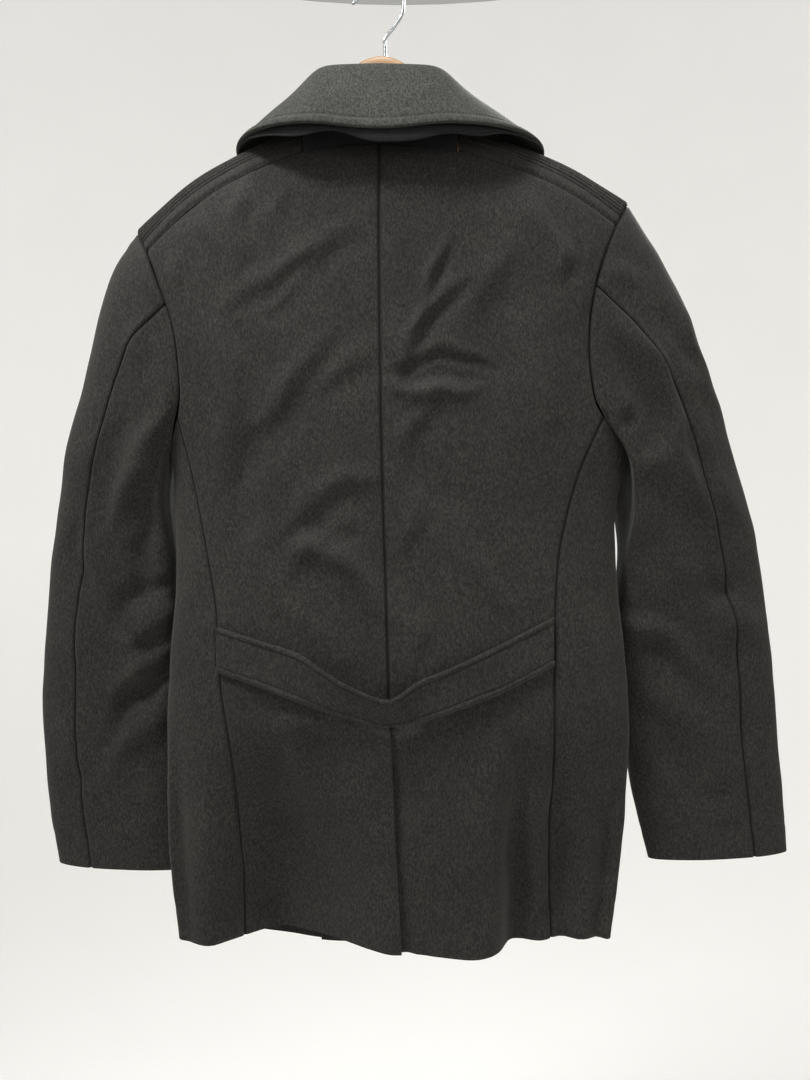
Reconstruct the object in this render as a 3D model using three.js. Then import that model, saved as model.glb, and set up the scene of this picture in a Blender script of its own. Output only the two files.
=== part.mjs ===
// A hip-length double-breasted wool coat on a plain wooden hanger, hanging from the hanger's wire hook.
// Millimetres, +Z up. The fronts face -Y and the belted back faces +Y; +X is the wearer's left.
// The origin is the inside top of the hook, where it sits on whatever holds it up.
import * as THREE from "three";

// Cloth and sewing
const CLOTH = 3; // heavy melton with its interlining
const SEAM_GAP = 0.36;
const RIB_COUNT = 14;
const RIB_PITCH = 6.5;
const RIB_HEIGHT = 2;
const YOKE_MARGIN = 14; // plain strip on each side of the ribs
const NECK_HALF = 76; // where the neck seam meets the yokes
const UNDERLAP = 34; // hidden flap of the back vent
const VENT_TOP = -765;

// Levels
const HEM = -985;
const FRONT_DIP = 24; // the fronts hang lower than the sides at their edges
const JOINT = -465; // where the side panels meet the armholes
const BELOW_WAIST = [
  HEM, -960, -930, -895, -860, -825, -790, VENT_TOP, -735, -700, -660, -615, -565, -515, JOINT,
];
const UPPER_ROWS = 6;
const YOKE_ROWS = 7;

// Section shape
const ROUNDNESS = 2.6; // exponent of the flattened body rings
const CAP_ROUNDNESS = 2.2; // exponent of the rounded shoulder
const CAP_DROP = 110; // depth below the shoulder ridge where the body is full
const SLEEVE_ROUNDNESS = 2.3;

const BODY = [
  { z: -1030, left: 203, right: -231, back: 50, front: 34, middle: 6 },
  { z: -985, left: 204, right: -232, back: 50, front: 34, middle: 6 },
  { z: -930, left: 211, right: -238, back: 53, front: 35, middle: 6 },
  { z: -860, left: 216, right: -246, back: 57, front: 37, middle: 5 },
  { z: -780, left: 216, right: -250, back: 61, front: 40, middle: 4 },
  { z: -700, left: 212, right: -246, back: 62, front: 42, middle: 3 },
  { z: -640, left: 208, right: -239, back: 61, front: 44, middle: 2 },
  { z: -560, left: 209, right: -238, back: 60, front: 46, middle: 0 },
  { z: -500, left: 214, right: -251, back: 61, front: 47, middle: 0 },
  { z: -440, left: 236, right: -264, back: 62, front: 48, middle: 0 },
  { z: -380, left: 258, right: -276, back: 62, front: 48, middle: 0 },
  { z: -300, left: 278, right: -288, back: 62, front: 46, middle: 0 },
  { z: -200, left: 292, right: -298, back: 60, front: 43, middle: 0 },
  { z: -140, left: 296, right: -302, back: 58, front: 42, middle: 0 },
];
const RIDGE = [
  { x: -300, z: -282 },
  { x: -268, z: -258 },
  { x: -250, z: -246 },
  { x: -222, z: -229 },
  { x: -190, z: -211 },
  { x: -150, z: -194 },
  { x: -110, z: -181 },
  { x: -70, z: -171 },
  { x: 0, z: -166 },
  { x: 70, z: -171 },
  { x: 110, z: -184 },
  { x: 150, z: -202 },
  { x: 191, z: -226 },
  { x: 225, z: -254 },
  { x: 247, z: -274 },
  { x: 266, z: -294 },
  { x: 300, z: -334 },
];
const ARMHOLE = [
  { z: -510, left: 216, right: -255 },
  { z: -500, left: 214, right: -251 },
  { z: -489, left: 209, right: -243 },
  { z: -475, left: 203, right: -230 },
  { z: -461, left: 198, right: -214 },
  { z: -440, left: 195, right: -206 },
  { z: -405, left: 197, right: -202 },
  { z: -374, left: 202, right: -203 },
  { z: -344, left: 213, right: -208 },
  { z: -307, left: 228, right: -219 },
  { z: -274, left: 247, right: -233 },
  { z: -246, left: 262, right: -250 },
  { z: -230, left: 270, right: -262 },
];
const BACK_SEAM = [
  { z: -1030, left: 137, right: -171 },
  { z: -985, left: 137, right: -171 },
  { z: -860, left: 140, right: -169 },
  { z: -790, left: 144, right: -168 },
  { z: -716, left: 154, right: -167 },
  { z: -660, left: 158, right: -168 },
  { z: -600, left: 168, right: -173 },
  { z: -550, left: 178, right: -184 },
  { z: -510, left: 188, right: -197 },
  { z: JOINT, left: 199.5, right: -218.5 },
];
const FRONT_SEAM = [
  { z: -1030, left: 172, right: -190 },
  { z: -985, left: 172, right: -190 },
  { z: -860, left: 176, right: -196 },
  { z: -700, left: 178, right: -200 },
  { z: -560, left: 184, right: -206 },
  { z: JOINT, left: 199.5, right: -218.5 },
];
const CENTRE_BACK = [
  { z: -1030, x: -22 },
  { z: -985, x: -21 },
  { z: -880, x: -15 },
  { z: -765, x: -10 },
  { z: -640, x: -6 },
  { z: -500, x: -2 },
  { z: -358, x: 0 },
  { z: -200, x: 1 },
];
// How far the back lies from the hanger's plane along the hem: its folds, seen from below.
const HEM_FOLDS = [
  { x: -232, y: 6 },
  { x: -215, y: 14 },
  { x: -199, y: 20 },
  { x: -181, y: 12 },
  { x: -159, y: 22 },
  { x: -140, y: 16 },
  { x: -127, y: 20 },
  { x: -116, y: 44 },
  { x: -104, y: 56 },
  { x: -86, y: 61 },
  { x: -57, y: 56 },
  { x: -35, y: 50 },
  { x: -11, y: 51 },
  { x: 11, y: 40 },
  { x: 27, y: 29 },
  { x: 48, y: 14 },
  { x: 70, y: 2 },
  { x: 92, y: -9 },
  { x: 107, y: -10 },
  { x: 129, y: 4 },
  { x: 147, y: 20 },
  { x: 166, y: 34 },
  { x: 186, y: 27 },
  { x: 204, y: 6 },
];
const FOLDS_TOP = -740; // the hem folds die out under the belt

// Fronts: the left one laps over the right one
const FRONTS = {
  left: { edge: -76, breakZ: -402, neckX: NECK_HALF },
  right: { edge: 64, breakZ: -402, neckX: -NECK_HALF },
};
const LAP_RAISE = CLOTH + 1.6;
const LAP_FULL = 84;
const LAP_NONE = 128;

const LAPEL = {
  left: [
    { t: 0, rollX: -68, rollZ: -396, outX: -62, outZ: -402 },
    { t: 0.25, rollX: -34, rollZ: -350, outX: 14, outZ: -398 },
    { t: 0.5, rollX: 0, rollZ: -306, outX: 72, outZ: -366 },
    { t: 0.75, rollX: 34, rollZ: -262, outX: 114, outZ: -322 },
    { t: 1, rollX: 64, rollZ: -226, outX: 142, outZ: -280 },
  ],
  right: [
    { t: 0, rollX: -8, rollZ: -309, outX: -60, outZ: -378 },
    { t: 0.33, rollX: -26, rollZ: -284, outX: -94, outZ: -352 },
    { t: 0.66, rollX: -46, rollZ: -254, outX: -122, outZ: -318 },
    { t: 1, rollX: -64, rollZ: -228, outX: -142, outZ: -280 },
  ],
};

const SLEEVES = {
  left: [
    { s: 0, outX: 247, outZ: -274, inX: 214, inZ: -500, y: 4, deep: 48 },
    { s: 0.12, outX: 276, outZ: -324, inX: 217, inZ: -548, y: 1, deep: 46 },
    { s: 0.25, outX: 299, outZ: -402, inX: 212, inZ: -596, y: -5, deep: 42 },
    { s: 0.4, outX: 325, outZ: -500, inX: 209, inZ: -652, y: -13, deep: 37 },
    { s: 0.55, outX: 341, outZ: -592, inX: 207, inZ: -706, y: -19, deep: 32 },
    { s: 0.7, outX: 352, outZ: -690, inX: 205, inZ: -765, y: -23, deep: 28 },
    { s: 0.82, outX: 356, outZ: -775, inX: 200, inZ: -822, y: -25, deep: 24 },
    { s: 0.92, outX: 350, outZ: -856, inX: 198, inZ: -878, y: -26, deep: 20 },
    { s: 1, outX: 340, outZ: -924, inX: 197, inZ: -930, y: -26, deep: 17 },
  ],
  right: [
    { s: 0, outX: -250, outZ: -246, inX: -251, inZ: -500, y: 4, deep: 48 },
    { s: 0.12, outX: -289, outZ: -310, inX: -256, inZ: -550, y: 2, deep: 46 },
    { s: 0.25, outX: -322, outZ: -380, inX: -247, inZ: -600, y: -4, deep: 42 },
    { s: 0.4, outX: -353, outZ: -468, inX: -243, inZ: -655, y: -12, deep: 37 },
    { s: 0.55, outX: -385, outZ: -570, inX: -244, inZ: -710, y: -18, deep: 32 },
    { s: 0.7, outX: -403, outZ: -674, inX: -251, inZ: -766, y: -22, deep: 28 },
    { s: 0.82, outX: -413, outZ: -768, inX: -257, inZ: -818, y: -24, deep: 24 },
    { s: 0.92, outX: -420, outZ: -848, inX: -267, inZ: -868, y: -25, deep: 20 },
    { s: 1, outX: -426, outZ: -912, inX: -279, inZ: -920, y: -25, deep: 17 },
  ],
};
const SLEEVE_ROWS = 13;
const HEAD_FADE = 0.42; // share of the sleeve that eases from the armhole into the tube
const ELBOW_SEAM = 66; // degrees round from the outer fold, on the back
const FORE_SEAM = 128; // the same, on the front
const SLEEVE_START = 0.003; // keeps the sleeve head just off the armhole

// Collar stations from the centre back to its front end, for the wearer's left; the right is a mirror, wider
const COLLAR = [
  { t: 0, foldX: 0, foldY: 50, foldZ: -139, edgeX: 0, edgeY: 88, edgeZ: -207 },
  { t: 0.17, foldX: 42, foldY: 46, foldZ: -140, edgeX: 50, edgeY: 86, edgeZ: -203 },
  { t: 0.34, foldX: 64, foldY: 32, foldZ: -150, edgeX: 104, edgeY: 62, edgeZ: -198 },
  { t: 0.5, foldX: 77, foldY: 6, foldZ: -157, edgeX: 143, edgeY: 12, edgeZ: -190 },
  { t: 0.66, foldX: 80, foldY: -20, foldZ: -166, edgeX: 150, edgeY: -24, edgeZ: -197 },
  { t: 0.84, foldX: 77, foldY: -44, foldZ: -190, edgeX: 146, edgeY: -56, edgeZ: -234 },
  { t: 1, foldX: 70, foldY: -58, foldZ: -215, edgeX: 136, edgeY: -68, edgeZ: -267 },
];
const COLLAR_SPREAD = { left: 1, right: 1.12 }; // the collar sits off centre on the hanger
const COLLAR_CLOTH = 4; // two layers

const BELT = [
  { x: 156, top: -669, bottom: -713, offTop: 4, offBottom: 4 },
  { x: 121, top: -679, bottom: -723, offTop: 6, offBottom: 6 },
  { x: 76, top: -692, bottom: -739, offTop: 11, offBottom: 7 },
  { x: 56, top: -704, bottom: -746, offTop: 17, offBottom: 7 },
  { x: 36, top: -716, bottom: -752, offTop: 22, offBottom: 8 },
  { x: 0, top: -731, bottom: -761, offTop: 26, offBottom: 9 },
  { x: -14, top: -731, bottom: -761, offTop: 24, offBottom: 9 },
  { x: -36, top: -717, bottom: -757, offTop: 17, offBottom: 9 },
  { x: -60, top: -708, bottom: -750, offTop: 12, offBottom: 9 },
  { x: -88, top: -696, bottom: -740, offTop: 9, offBottom: 8 },
  { x: -116, top: -683, bottom: -730, offTop: 7, offBottom: 6 },
  { x: -166, top: -659, bottom: -706, offTop: 4, offBottom: 4 },
];

const BUTTONS = {
  radius: 15, rim: 1.2, thick: 4.6, well: 10,
  columns: [-58, 50],
  rows: [-424, -520, -616, -712],
};
const HANGER = {
  reach: 214, thick: 15, neckTall: 58, tall: 30, tipTall: 15,
  clear: 1.4, crown: -93, crownHalf: 30,
};
const HOOK = { wire: 1.7, inner: 21, kinkX: -21, footX: -3.5 };

const WOOL = { color: 0x2e2c29, roughness: 0.95, metalness: 0 };
const UNDER_WOOL = { color: 0x191a1c, roughness: 0.9, metalness: 0 };
const WOOD = { color: 0xc98b4a, roughness: 0.5, metalness: 0 };
const STEEL = { color: 0xb9bcc0, roughness: 0.3, metalness: 1 };
const HORN = { color: 0x141416, roughness: 0.35, metalness: 0 };

const mix = (a, b, t) => a + (b - a) * t;
const clamp01 = (t) => Math.min(1, Math.max(0, t));
const ease = (a, b, v) => {
  const t = clamp01((v - a) / (b - a));
  return t * t * (3 - 2 * t);
};

// A smooth curve through one column of a table, read by another column that only rises or only falls.
function curve(table, key, column) {
  const rows = [...table].sort((a, b) => a[key] - b[key]);
  const slope = rows.map((row, i) => {
    const before = rows[Math.max(0, i - 1)];
    const after = rows[Math.min(rows.length - 1, i + 1)];
    return (after[column] - before[column]) / (after[key] - before[key]);
  });
  return (at) => {
    let i = 0;
    while (i < rows.length - 2 && at > rows[i + 1][key]) i += 1;
    const span = rows[i + 1][key] - rows[i][key];
    const t = clamp01((at - rows[i][key]) / span);
    const rise = t * t * (3 - 2 * t);
    return (
      mix(rows[i][column], rows[i + 1][column], rise) +
      span * slope[i] * t * (1 - t) * (1 - t) -
      span * slope[i + 1] * t * t * (1 - t)
    );
  };
}

const bodyOf = Object.fromEntries(
  ["left", "right", "back", "front", "middle"].map((column) => [column, curve(BODY, "z", column)]),
);
const ridgeZ = curve(RIDGE, "x", "z");
const armholeX = { left: curve(ARMHOLE, "z", "left"), right: curve(ARMHOLE, "z", "right") };
const backSeamX = { left: curve(BACK_SEAM, "z", "left"), right: curve(BACK_SEAM, "z", "right") };
const frontSeamX = { left: curve(FRONT_SEAM, "z", "left"), right: curve(FRONT_SEAM, "z", "right") };
const centreBackX = curve(CENTRE_BACK, "z", "x");
const hemFoldY = curve(HEM_FOLDS, "x", "y");

const ringMiddle = (z) => (bodyOf.left(z) + bodyOf.right(z)) / 2;
const ringHalf = (z) => (bodyOf.left(z) - bodyOf.right(z)) / 2;

// The shoulder's rounding: 0 on the ridge, 1 where the body is full.
function capShare(x, z) {
  const down = clamp01((ridgeZ(x) - z) / CAP_DROP);
  return Math.pow(1 - Math.pow(1 - down, CAP_ROUNDNESS), 1 / CAP_ROUNDNESS);
}

function hemFold(x, z, plainY) {
  const low = ease(FOLDS_TOP, HEM, z);
  const share = Math.pow(low, 0.8);
  const inside = ease(0, 18, Math.min(bodyOf.left(z) - x, x - bodyOf.right(z)));
  return (hemFoldY(x) - plainY) * share * inside;
}

// A point on the outer face of the cloth, on the back (face 1) or the front (face -1).
function onFace(x, z, face, raise = 0) {
  const across = clamp01(Math.abs(x - ringMiddle(z)) / ringHalf(z));
  const rounded = Math.pow(1 - Math.pow(across, ROUNDNESS), 1 / ROUNDNESS);
  const deep = (face > 0 ? bodyOf.back(z) : bodyOf.front(z)) * capShare(x, z);
  const plain = bodyOf.middle(z) + face * deep * rounded;
  const folded = face > 0 ? plain + hemFold(x, z, plain) : plain;
  return new THREE.Vector3(x, folded + face * raise, z);
}

// A point on the ring at height z, turned from the side fold (0) to the middle of the back (90) or front (-90)
function onRing(turn, z, side) {
  const cos = Math.pow(Math.max(0, Math.cos(turn)), 2 / ROUNDNESS);
  const x = ringMiddle(z) + (side === "left" ? 1 : -1) * ringHalf(z) * cos;
  const sin = Math.pow(Math.abs(Math.sin(turn)), 2 / ROUNDNESS);
  const deep = turn > 0 ? bodyOf.back(z) : bodyOf.front(z);
  const plain = bodyOf.middle(z) + Math.sign(turn) * deep * sin;
  return new THREE.Vector3(x, turn > 0 ? plain + hemFold(x, z, plain) : plain, z);
}
function turnAt(x, z) {
  const across = clamp01(Math.abs(x - ringMiddle(z)) / ringHalf(z));
  return Math.acos(Math.pow(across, ROUNDNESS / 2));
}

// The point that lies `down` millimetres from the shoulder ridge over the cloth. Negative is the front.
function overShoulder(x, down) {
  const face = down < 0 ? -1 : 1;
  const steps = 160;
  let walked = 0;
  let last = onFace(x, ridgeZ(x), face);
  for (let i = 1; i <= steps; i += 1) {
    const drop = CAP_DROP * (1 - Math.pow(Math.cos((i / steps) * Math.PI * 0.5), 2 / CAP_ROUNDNESS));
    const next = onFace(x, ridgeZ(x) - drop, face);
    const length = next.distanceTo(last);
    if (walked + length >= Math.abs(down)) return last.lerp(next, (Math.abs(down) - walked) / length);
    walked += length;
    last = next;
  }
  return last;
}
const armholePoints = new Map();
function armholeOverShoulder(side, down) {
  const key = `${side} ${down.toFixed(6)}`;
  if (!armholePoints.has(key)) {
    let x = armholeX[side](-270);
    for (let i = 0; i < 14; i += 1) x = mix(x, armholeX[side](overShoulder(x, down).z), 0.6);
    armholePoints.set(key, overShoulder(x, down));
  }
  return armholePoints.get(key).clone();
}

const YOKE_BACK = RIB_COUNT * RIB_PITCH * 0.55 + YOKE_MARGIN;
const YOKE_FRONT = -(RIB_COUNT * RIB_PITCH * 0.45 + YOKE_MARGIN);

// A closed wall of cloth. Its outer face is surface(u, v), sampled at us and vs, and side turns it over.
// A surface that carries on past its borders is read there too, so two pieces share their normals at a seam.
function wall(surface, us, vs, side, options = {}) {
  const { thickness = CLOTH, relief = () => 0, stepU = 1e-4, carriesOn = false } = options;
  const outer = [];
  const inner = [];
  const stepV = 1e-4;
  const inside = (t, d) => Math.min(1 - d, Math.max(d, t));
  for (const v of vs) {
    for (const u of us) {
      const uu = carriesOn ? u : inside(u, stepU);
      const vv = inside(v, stepV);
      const alongU = surface(uu + stepU, vv).sub(surface(uu - stepU, vv));
      const alongV = surface(uu, vv + stepV).sub(surface(uu, vv - stepV));
      const normal = alongU.cross(alongV).normalize().multiplyScalar(side);
      const point = surface(u, v);
      outer.push(point.clone().addScaledVector(normal, relief(u, v)));
      inner.push(point.addScaledVector(normal, -thickness));
    }
  }
  const columns = us.length;
  const rows = vs.length;
  trimBorder(outer, inner, columns, rows);
  return shell(outer, inner, columns, rows);
}

// Draws the border back square to itself by half a seam gap, outer and inner face together.
function trimBorder(outer, inner, columns, rows) {
  const steps = [];
  const pull = (edge, next, before, after) => {
    const along = outer[after].clone().sub(outer[before]).normalize();
    const step = outer[next].clone().sub(outer[edge]);
    step.addScaledVector(along, -step.dot(along)).setLength(SEAM_GAP / 2);
    steps.push([edge, step]);
  };
  for (let r = 0; r < rows; r += 1) {
    const [up, down] = [Math.max(0, r - 1) * columns, Math.min(rows - 1, r + 1) * columns];
    const end = columns - 1;
    pull(r * columns, r * columns + 1, up, down);
    pull(r * columns + end, r * columns + end - 1, up + end, down + end);
  }
  for (let c = 0; c < columns; c += 1) {
    const [before, after] = [Math.max(0, c - 1), Math.min(columns - 1, c + 1)];
    const end = (rows - 1) * columns;
    pull(c, c + columns, before, after);
    pull(end + c, end + c - columns, end + before, end + after);
  }
  steps.forEach(([edge, step]) => {
    outer[edge].add(step);
    inner[edge].add(step);
  });
}

function shell(outer, inner, columns, rows) {
  const points = [...outer, ...inner];
  const half = outer.length;
  const faces = [];
  const quad = (a, b, c, d) => faces.push([a, b, c], [a, c, d]);
  for (let r = 0; r < rows - 1; r += 1) {
    for (let c = 0; c < columns - 1; c += 1) {
      const i = r * columns + c;
      quad(i, i + 1, i + columns + 1, i + columns);
      quad(half + i + columns, half + i + columns + 1, half + i + 1, half + i);
    }
  }
  const rim = [];
  for (let c = 0; c < columns - 1; c += 1) rim.push(c);
  for (let r = 0; r < rows - 1; r += 1) rim.push(r * columns + columns - 1);
  for (let c = columns - 1; c > 0; c -= 1) rim.push((rows - 1) * columns + c);
  for (let r = rows - 1; r > 0; r -= 1) rim.push(r * columns);
  rim.forEach((i, k) => {
    const j = rim[(k + 1) % rim.length];
    quad(j, i, half + i, half + j);
  });
  return solid(points, faces);
}

function solid(points, faces) {
  const volume = faces.reduce((sum, [a, b, c]) => {
    return sum + points[a].dot(points[b].clone().cross(points[c]));
  }, 0);
  const index = faces.flatMap(([a, b, c]) => (volume > 0 ? [a, b, c] : [a, c, b]));
  const geometry = new THREE.BufferGeometry().setFromPoints(points);
  geometry.setIndex(index);
  geometry.computeVertexNormals();
  return geometry;
}

const part = new THREE.Group();
function add(name, geometry, look) {
  const mesh = new THREE.Mesh(geometry, new THREE.MeshStandardMaterial(look));
  mesh.name = name;
  part.add(mesh);
  return mesh;
}
const evenly = (count, from = 0, to = 1) =>
  Array.from({ length: count + 1 }, (_, i) => mix(from, to, i / count));

// Rows of a body panel: levels up to the armhole joint, then even shares up to its top. v runs 0 to 2.
const PANEL_ROWS = [
  ...BELOW_WAIST.map((z) => (z - HEM) / (JOINT - HEM)),
  ...evenly(UPPER_ROWS, 1, 2).slice(1),
].map((v) => v / 2);

const frontDip = (x, z) => {
  const middle = 1 - ease(20, 200, Math.abs(x));
  return FRONT_DIP * middle * ease(-760, HEM, z);
};

// The back's top line: the neck seam, then the lower edge of the shoulder yoke.
function backTopZ(x) {
  const yokeAt = (at) => overShoulder(at, YOKE_BACK).z;
  if (Math.abs(x) >= NECK_HALF) return yokeAt(x);
  return mix(-204, yokeAt(Math.sign(x || 1) * NECK_HALF), Math.pow(Math.abs(x) / NECK_HALF, 2));
}

function backPanel(side) {
  const outerTop = armholeOverShoulder(side, YOKE_BACK);
  const flap = side === "right" ? UNDERLAP : 0;
  const innerX = (z) => centreBackX(z) + flap * ease(VENT_TOP, VENT_TOP - 22, z);
  const surface = (u, v) => {
    const level = v * 2;
    const low = mix(HEM, JOINT, level);
    if (level <= 1) return under(mix(innerX(low), backSeamX[side](low), u), low);
    const share = level - 1;
    const topX = mix(innerX(-204), outerTop.x, u);
    const outerZ = mix(JOINT, outerTop.z, share);
    const x = mix(innerX(mix(JOINT, -204, share)), armholeX[side](outerZ), u);
    return onFace(x, mix(JOINT, u > 0.999 ? outerTop.z : backTopZ(topX), share), 1);
  };
  // Below the vent's top the right half dips under the left one.
  function under(x, z) {
    const beyond = flap ? ease(-16, -3, x - centreBackX(z)) : 0;
    return onFace(x, z, 1, -beyond * (CLOTH + 2.6) * ease(VENT_TOP + 20, VENT_TOP - 2, z));
  }
  const topSpan = outerTop.x - innerX(-204);
  const neckShare = ((side === "left" ? NECK_HALF : -NECK_HALF) - innerX(-204)) / topSpan;
  const us = [...evenly(4, 0, neckShare), ...evenly(YOKE_ROWS, neckShare, 1).slice(1)];
  if (flap) us.splice(1, 0, us[1] * 0.45);
  return wall(surface, us, PANEL_ROWS, side === "left" ? -1 : 1);
}

function sidePanel(side) {
  const surface = (u, v) => {
    const acrossTop = Math.abs(2 * u - 1); // 1 at the seams, 0 at the armpit
    const topZ = mix(-500, JOINT, Math.pow(acrossTop, 1.6));
    const z = mix(HEM, topZ, v);
    const fromZ = mix(HEM, JOINT, v);
    const back = turnAt(backSeamX[side](fromZ), z);
    const front = -turnAt(frontSeamX[side](fromZ), z);
    const topTurn = Math.sign(1 - 2 * u) * turnAt(armholeX[side](topZ), topZ);
    const turn = mix(mix(back, front, u), topTurn, Math.pow(v, 4));
    const point = onRing(turn, z, side);
    if (u === 0) point.copy(onFace(backSeamX[side](z), z, 1));
    if (u === 1) point.copy(onFace(frontSeamX[side](z), z, -1));
    if (turn < 0) point.z -= frontDip(point.x, z);
    return point;
  };
  const rows = BELOW_WAIST.map((z) => (z - HEM) / (JOINT - HEM));
  return wall(surface, evenly(8), rows, side === "left" ? -1 : 1);
}

const lapRaise = (side, x) => (side === "left" ? LAP_RAISE * ease(LAP_NONE, LAP_FULL, x) : 0);

// Inner edge of a front: its straight edge up to the break, then the roll line up to the neck.
function frontEdgeX(front, z, topZ) {
  if (z <= front.breakZ) return front.edge;
  return mix(front.edge, front.neckX, clamp01((z - front.breakZ) / (topZ - front.breakZ)));
}

function frontPanel(side) {
  const front = FRONTS[side];
  const outerTop = armholeOverShoulder(side, YOKE_FRONT);
  const neckTop = overShoulder(front.neckX, YOKE_FRONT);
  // The yoke's edge is drawn with YOKE_ROWS straight steps, and the front follows them.
  const yokeEdge = evenly(YOKE_ROWS).map((t) => overShoulder(mix(front.neckX, outerTop.x, t), YOKE_FRONT).z);
  const yokeEdgeZ = (u) => {
    const i = Math.min(YOKE_ROWS - 1, Math.floor(u * YOKE_ROWS));
    return mix(yokeEdge[i], yokeEdge[i + 1], u * YOKE_ROWS - i);
  };
  const surface = (u, v) => {
    const level = v * 2;
    const share = Math.max(0, level - 1);
    const outerZ = level <= 1 ? mix(HEM, JOINT, level) : mix(JOINT, outerTop.z, share);
    const innerZ = level <= 1 ? outerZ : mix(JOINT, neckTop.z, share);
    const outerX = level <= 1 ? frontSeamX[side](outerZ) : armholeX[side](outerZ);
    const x = mix(frontEdgeX(front, innerZ, neckTop.z), outerX, u);
    let z = mix(innerZ, outerZ, u);
    if (share > 0) {
      z += (yokeEdgeZ(u) - mix(neckTop.z, outerTop.z, u)) * share;
    }
    const point = onFace(x, z, -1, lapRaise(side, x));
    point.z -= frontDip(x, z);
    return point;
  };
  return wall(surface, evenly(2 * YOKE_ROWS), PANEL_ROWS, side === "left" ? 1 : -1);
}

function ribRelief(down) {
  const start = YOKE_FRONT + YOKE_MARGIN;
  const at = (down - start) / RIB_PITCH;
  if (at < 0 || at > RIB_COUNT) return 0;
  const within = at - Math.floor(at + 1e-6);
  return within < 0.16 || within > 0.84 ? 0 : RIB_HEIGHT;
}

function yoke(side) {
  const sign = side === "left" ? 1 : -1;
  const downs = [YOKE_FRONT, YOKE_FRONT + YOKE_MARGIN * 0.5];
  for (let rib = 0; rib < RIB_COUNT; rib += 1) {
    const start = YOKE_FRONT + YOKE_MARGIN + rib * RIB_PITCH;
    downs.push(start, start + RIB_PITCH * 0.24, start + RIB_PITCH * 0.76);
  }
  downs.push(YOKE_BACK - YOKE_MARGIN, YOKE_BACK - YOKE_MARGIN * 0.5, YOKE_BACK);
  const us = downs.map((down) => (down - YOKE_FRONT) / (YOKE_BACK - YOKE_FRONT));
  const downAt = (u) => mix(YOKE_FRONT, YOKE_BACK, u);
  const surface = (u, v) => {
    const down = downAt(u);
    const x = mix(sign * NECK_HALF, armholeOverShoulder(side, down).x, v);
    return overShoulder(x, down);
  };
  const relief = (u, v) => ribRelief(downAt(u)) * ease(0, 0.1, v);
  return wall(surface, us, evenly(YOKE_ROWS), -sign, { relief });
}

const YOKE_STEPS = 3;
const ARMPIT_STEPS = 4;
const ARMHOLE_STEPS = YOKE_STEPS + UPPER_ROWS + ARMPIT_STEPS;

// Where a sleeve joins the body, as stations from the ridge down one face to the armpit.
function armholeStations(side, face) {
  const yokeEdge = face > 0 ? YOKE_BACK : YOKE_FRONT;
  const onYoke = evenly(YOKE_STEPS).map((t) => armholeOverShoulder(side, yokeEdge * t));
  const top = onYoke[onYoke.length - 1].z;
  const onPanel = evenly(UPPER_ROWS, top, JOINT).slice(1).map((z) => onFace(armholeX[side](z), z, face));
  const below = evenly(ARMPIT_STEPS, 1, 0).slice(1).map((t) => {
    const z = mix(-500, JOINT, Math.pow(t, 1.6));
    return onRing(face * turnAt(armholeX[side](z), z), z, side);
  });
  return [...onYoke, ...onPanel, ...below];
}

function sleeveMaker(side) {
  const table = SLEEVES[side];
  const column = (name) => curve(table, "s", name);
  const at = Object.fromEntries(["outX", "outZ", "inX", "inZ", "y", "deep"].map((c) => [c, column(c)]));
  const tube = (turn, s) => {
    const cos = Math.sign(Math.cos(turn)) * Math.pow(Math.abs(Math.cos(turn)), 2 / SLEEVE_ROUNDNESS);
    const sin = Math.sign(Math.sin(turn)) * Math.pow(Math.abs(Math.sin(turn)), 2 / SLEEVE_ROUNDNESS);
    const inward = (1 - cos) / 2;
    return new THREE.Vector3(
      mix(at.outX(s), at.inX(s), inward),
      at.y(s) + at.deep(s) * sin,
      mix(at.outZ(s), at.inZ(s), inward),
    );
  };
  return (station, turn) => (s) => {
    const start = tube(turn, 0);
    const stay = Math.pow(1 - clamp01(s / HEAD_FADE), 2);
    return tube(turn, s).add(station.clone().sub(start).multiplyScalar(stay));
  };
}

// Stations all round the armhole with their angle: 0 on the ridge, 90 on the back, 180 at the armpit.
const ELBOW_AT = 5; // station where the elbow seam starts, on the back
const FORE_AT = 8; // and the forearm seam, on the front
const FORE_UP = 2 * ARMHOLE_STEPS - FORE_AT;
function sleeveStations(side) {
  const stations = (face, seamAt, seamAngle) => {
    const points = armholeStations(side, face);
    const last = points.length - 1;
    return points.map((point, i) => {
      const beyond = (i - seamAt) / (last - seamAt);
      const angle = i <= seamAt ? (seamAngle * i) / seamAt : mix(seamAngle, 180, beyond);
      return { point, turn: (angle * Math.PI) / 180 };
    });
  };
  const back = stations(1, ELBOW_AT, ELBOW_SEAM);
  const front = stations(-1, FORE_AT, FORE_SEAM).slice(1, -1).reverse();
  return [...back, ...front.map(({ point, turn }) => ({ point, turn: 2 * Math.PI - turn }))];
}

// One piece of a sleeve between two stations; counting on round the loop gives the other piece.
function sleevePiece(side, from, to) {
  const loop = sleeveStations(side);
  const make = sleeveMaker(side);
  const station = (n) => {
    const round = Math.floor(n / loop.length);
    const { point, turn } = loop[n - round * loop.length];
    return { point, turn: turn + round * 2 * Math.PI };
  };
  const surface = (u, v) => {
    const at = mix(from, to, u);
    const i = Math.floor(at + 1e-9);
    const [before, after] = [station(i), station(i + 1)];
    const point = before.point.clone().lerp(after.point, at - i);
    return make(point, mix(before.turn, after.turn, at - i))(mix(SLEEVE_START, 1, v));
  };
  const columns = to - from;
  const look = { stepU: 0.5 / columns, carriesOn: true };
  return wall(surface, evenly(columns), evenly(SLEEVE_ROWS), side === "left" ? -1 : 1, look);
}

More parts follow.
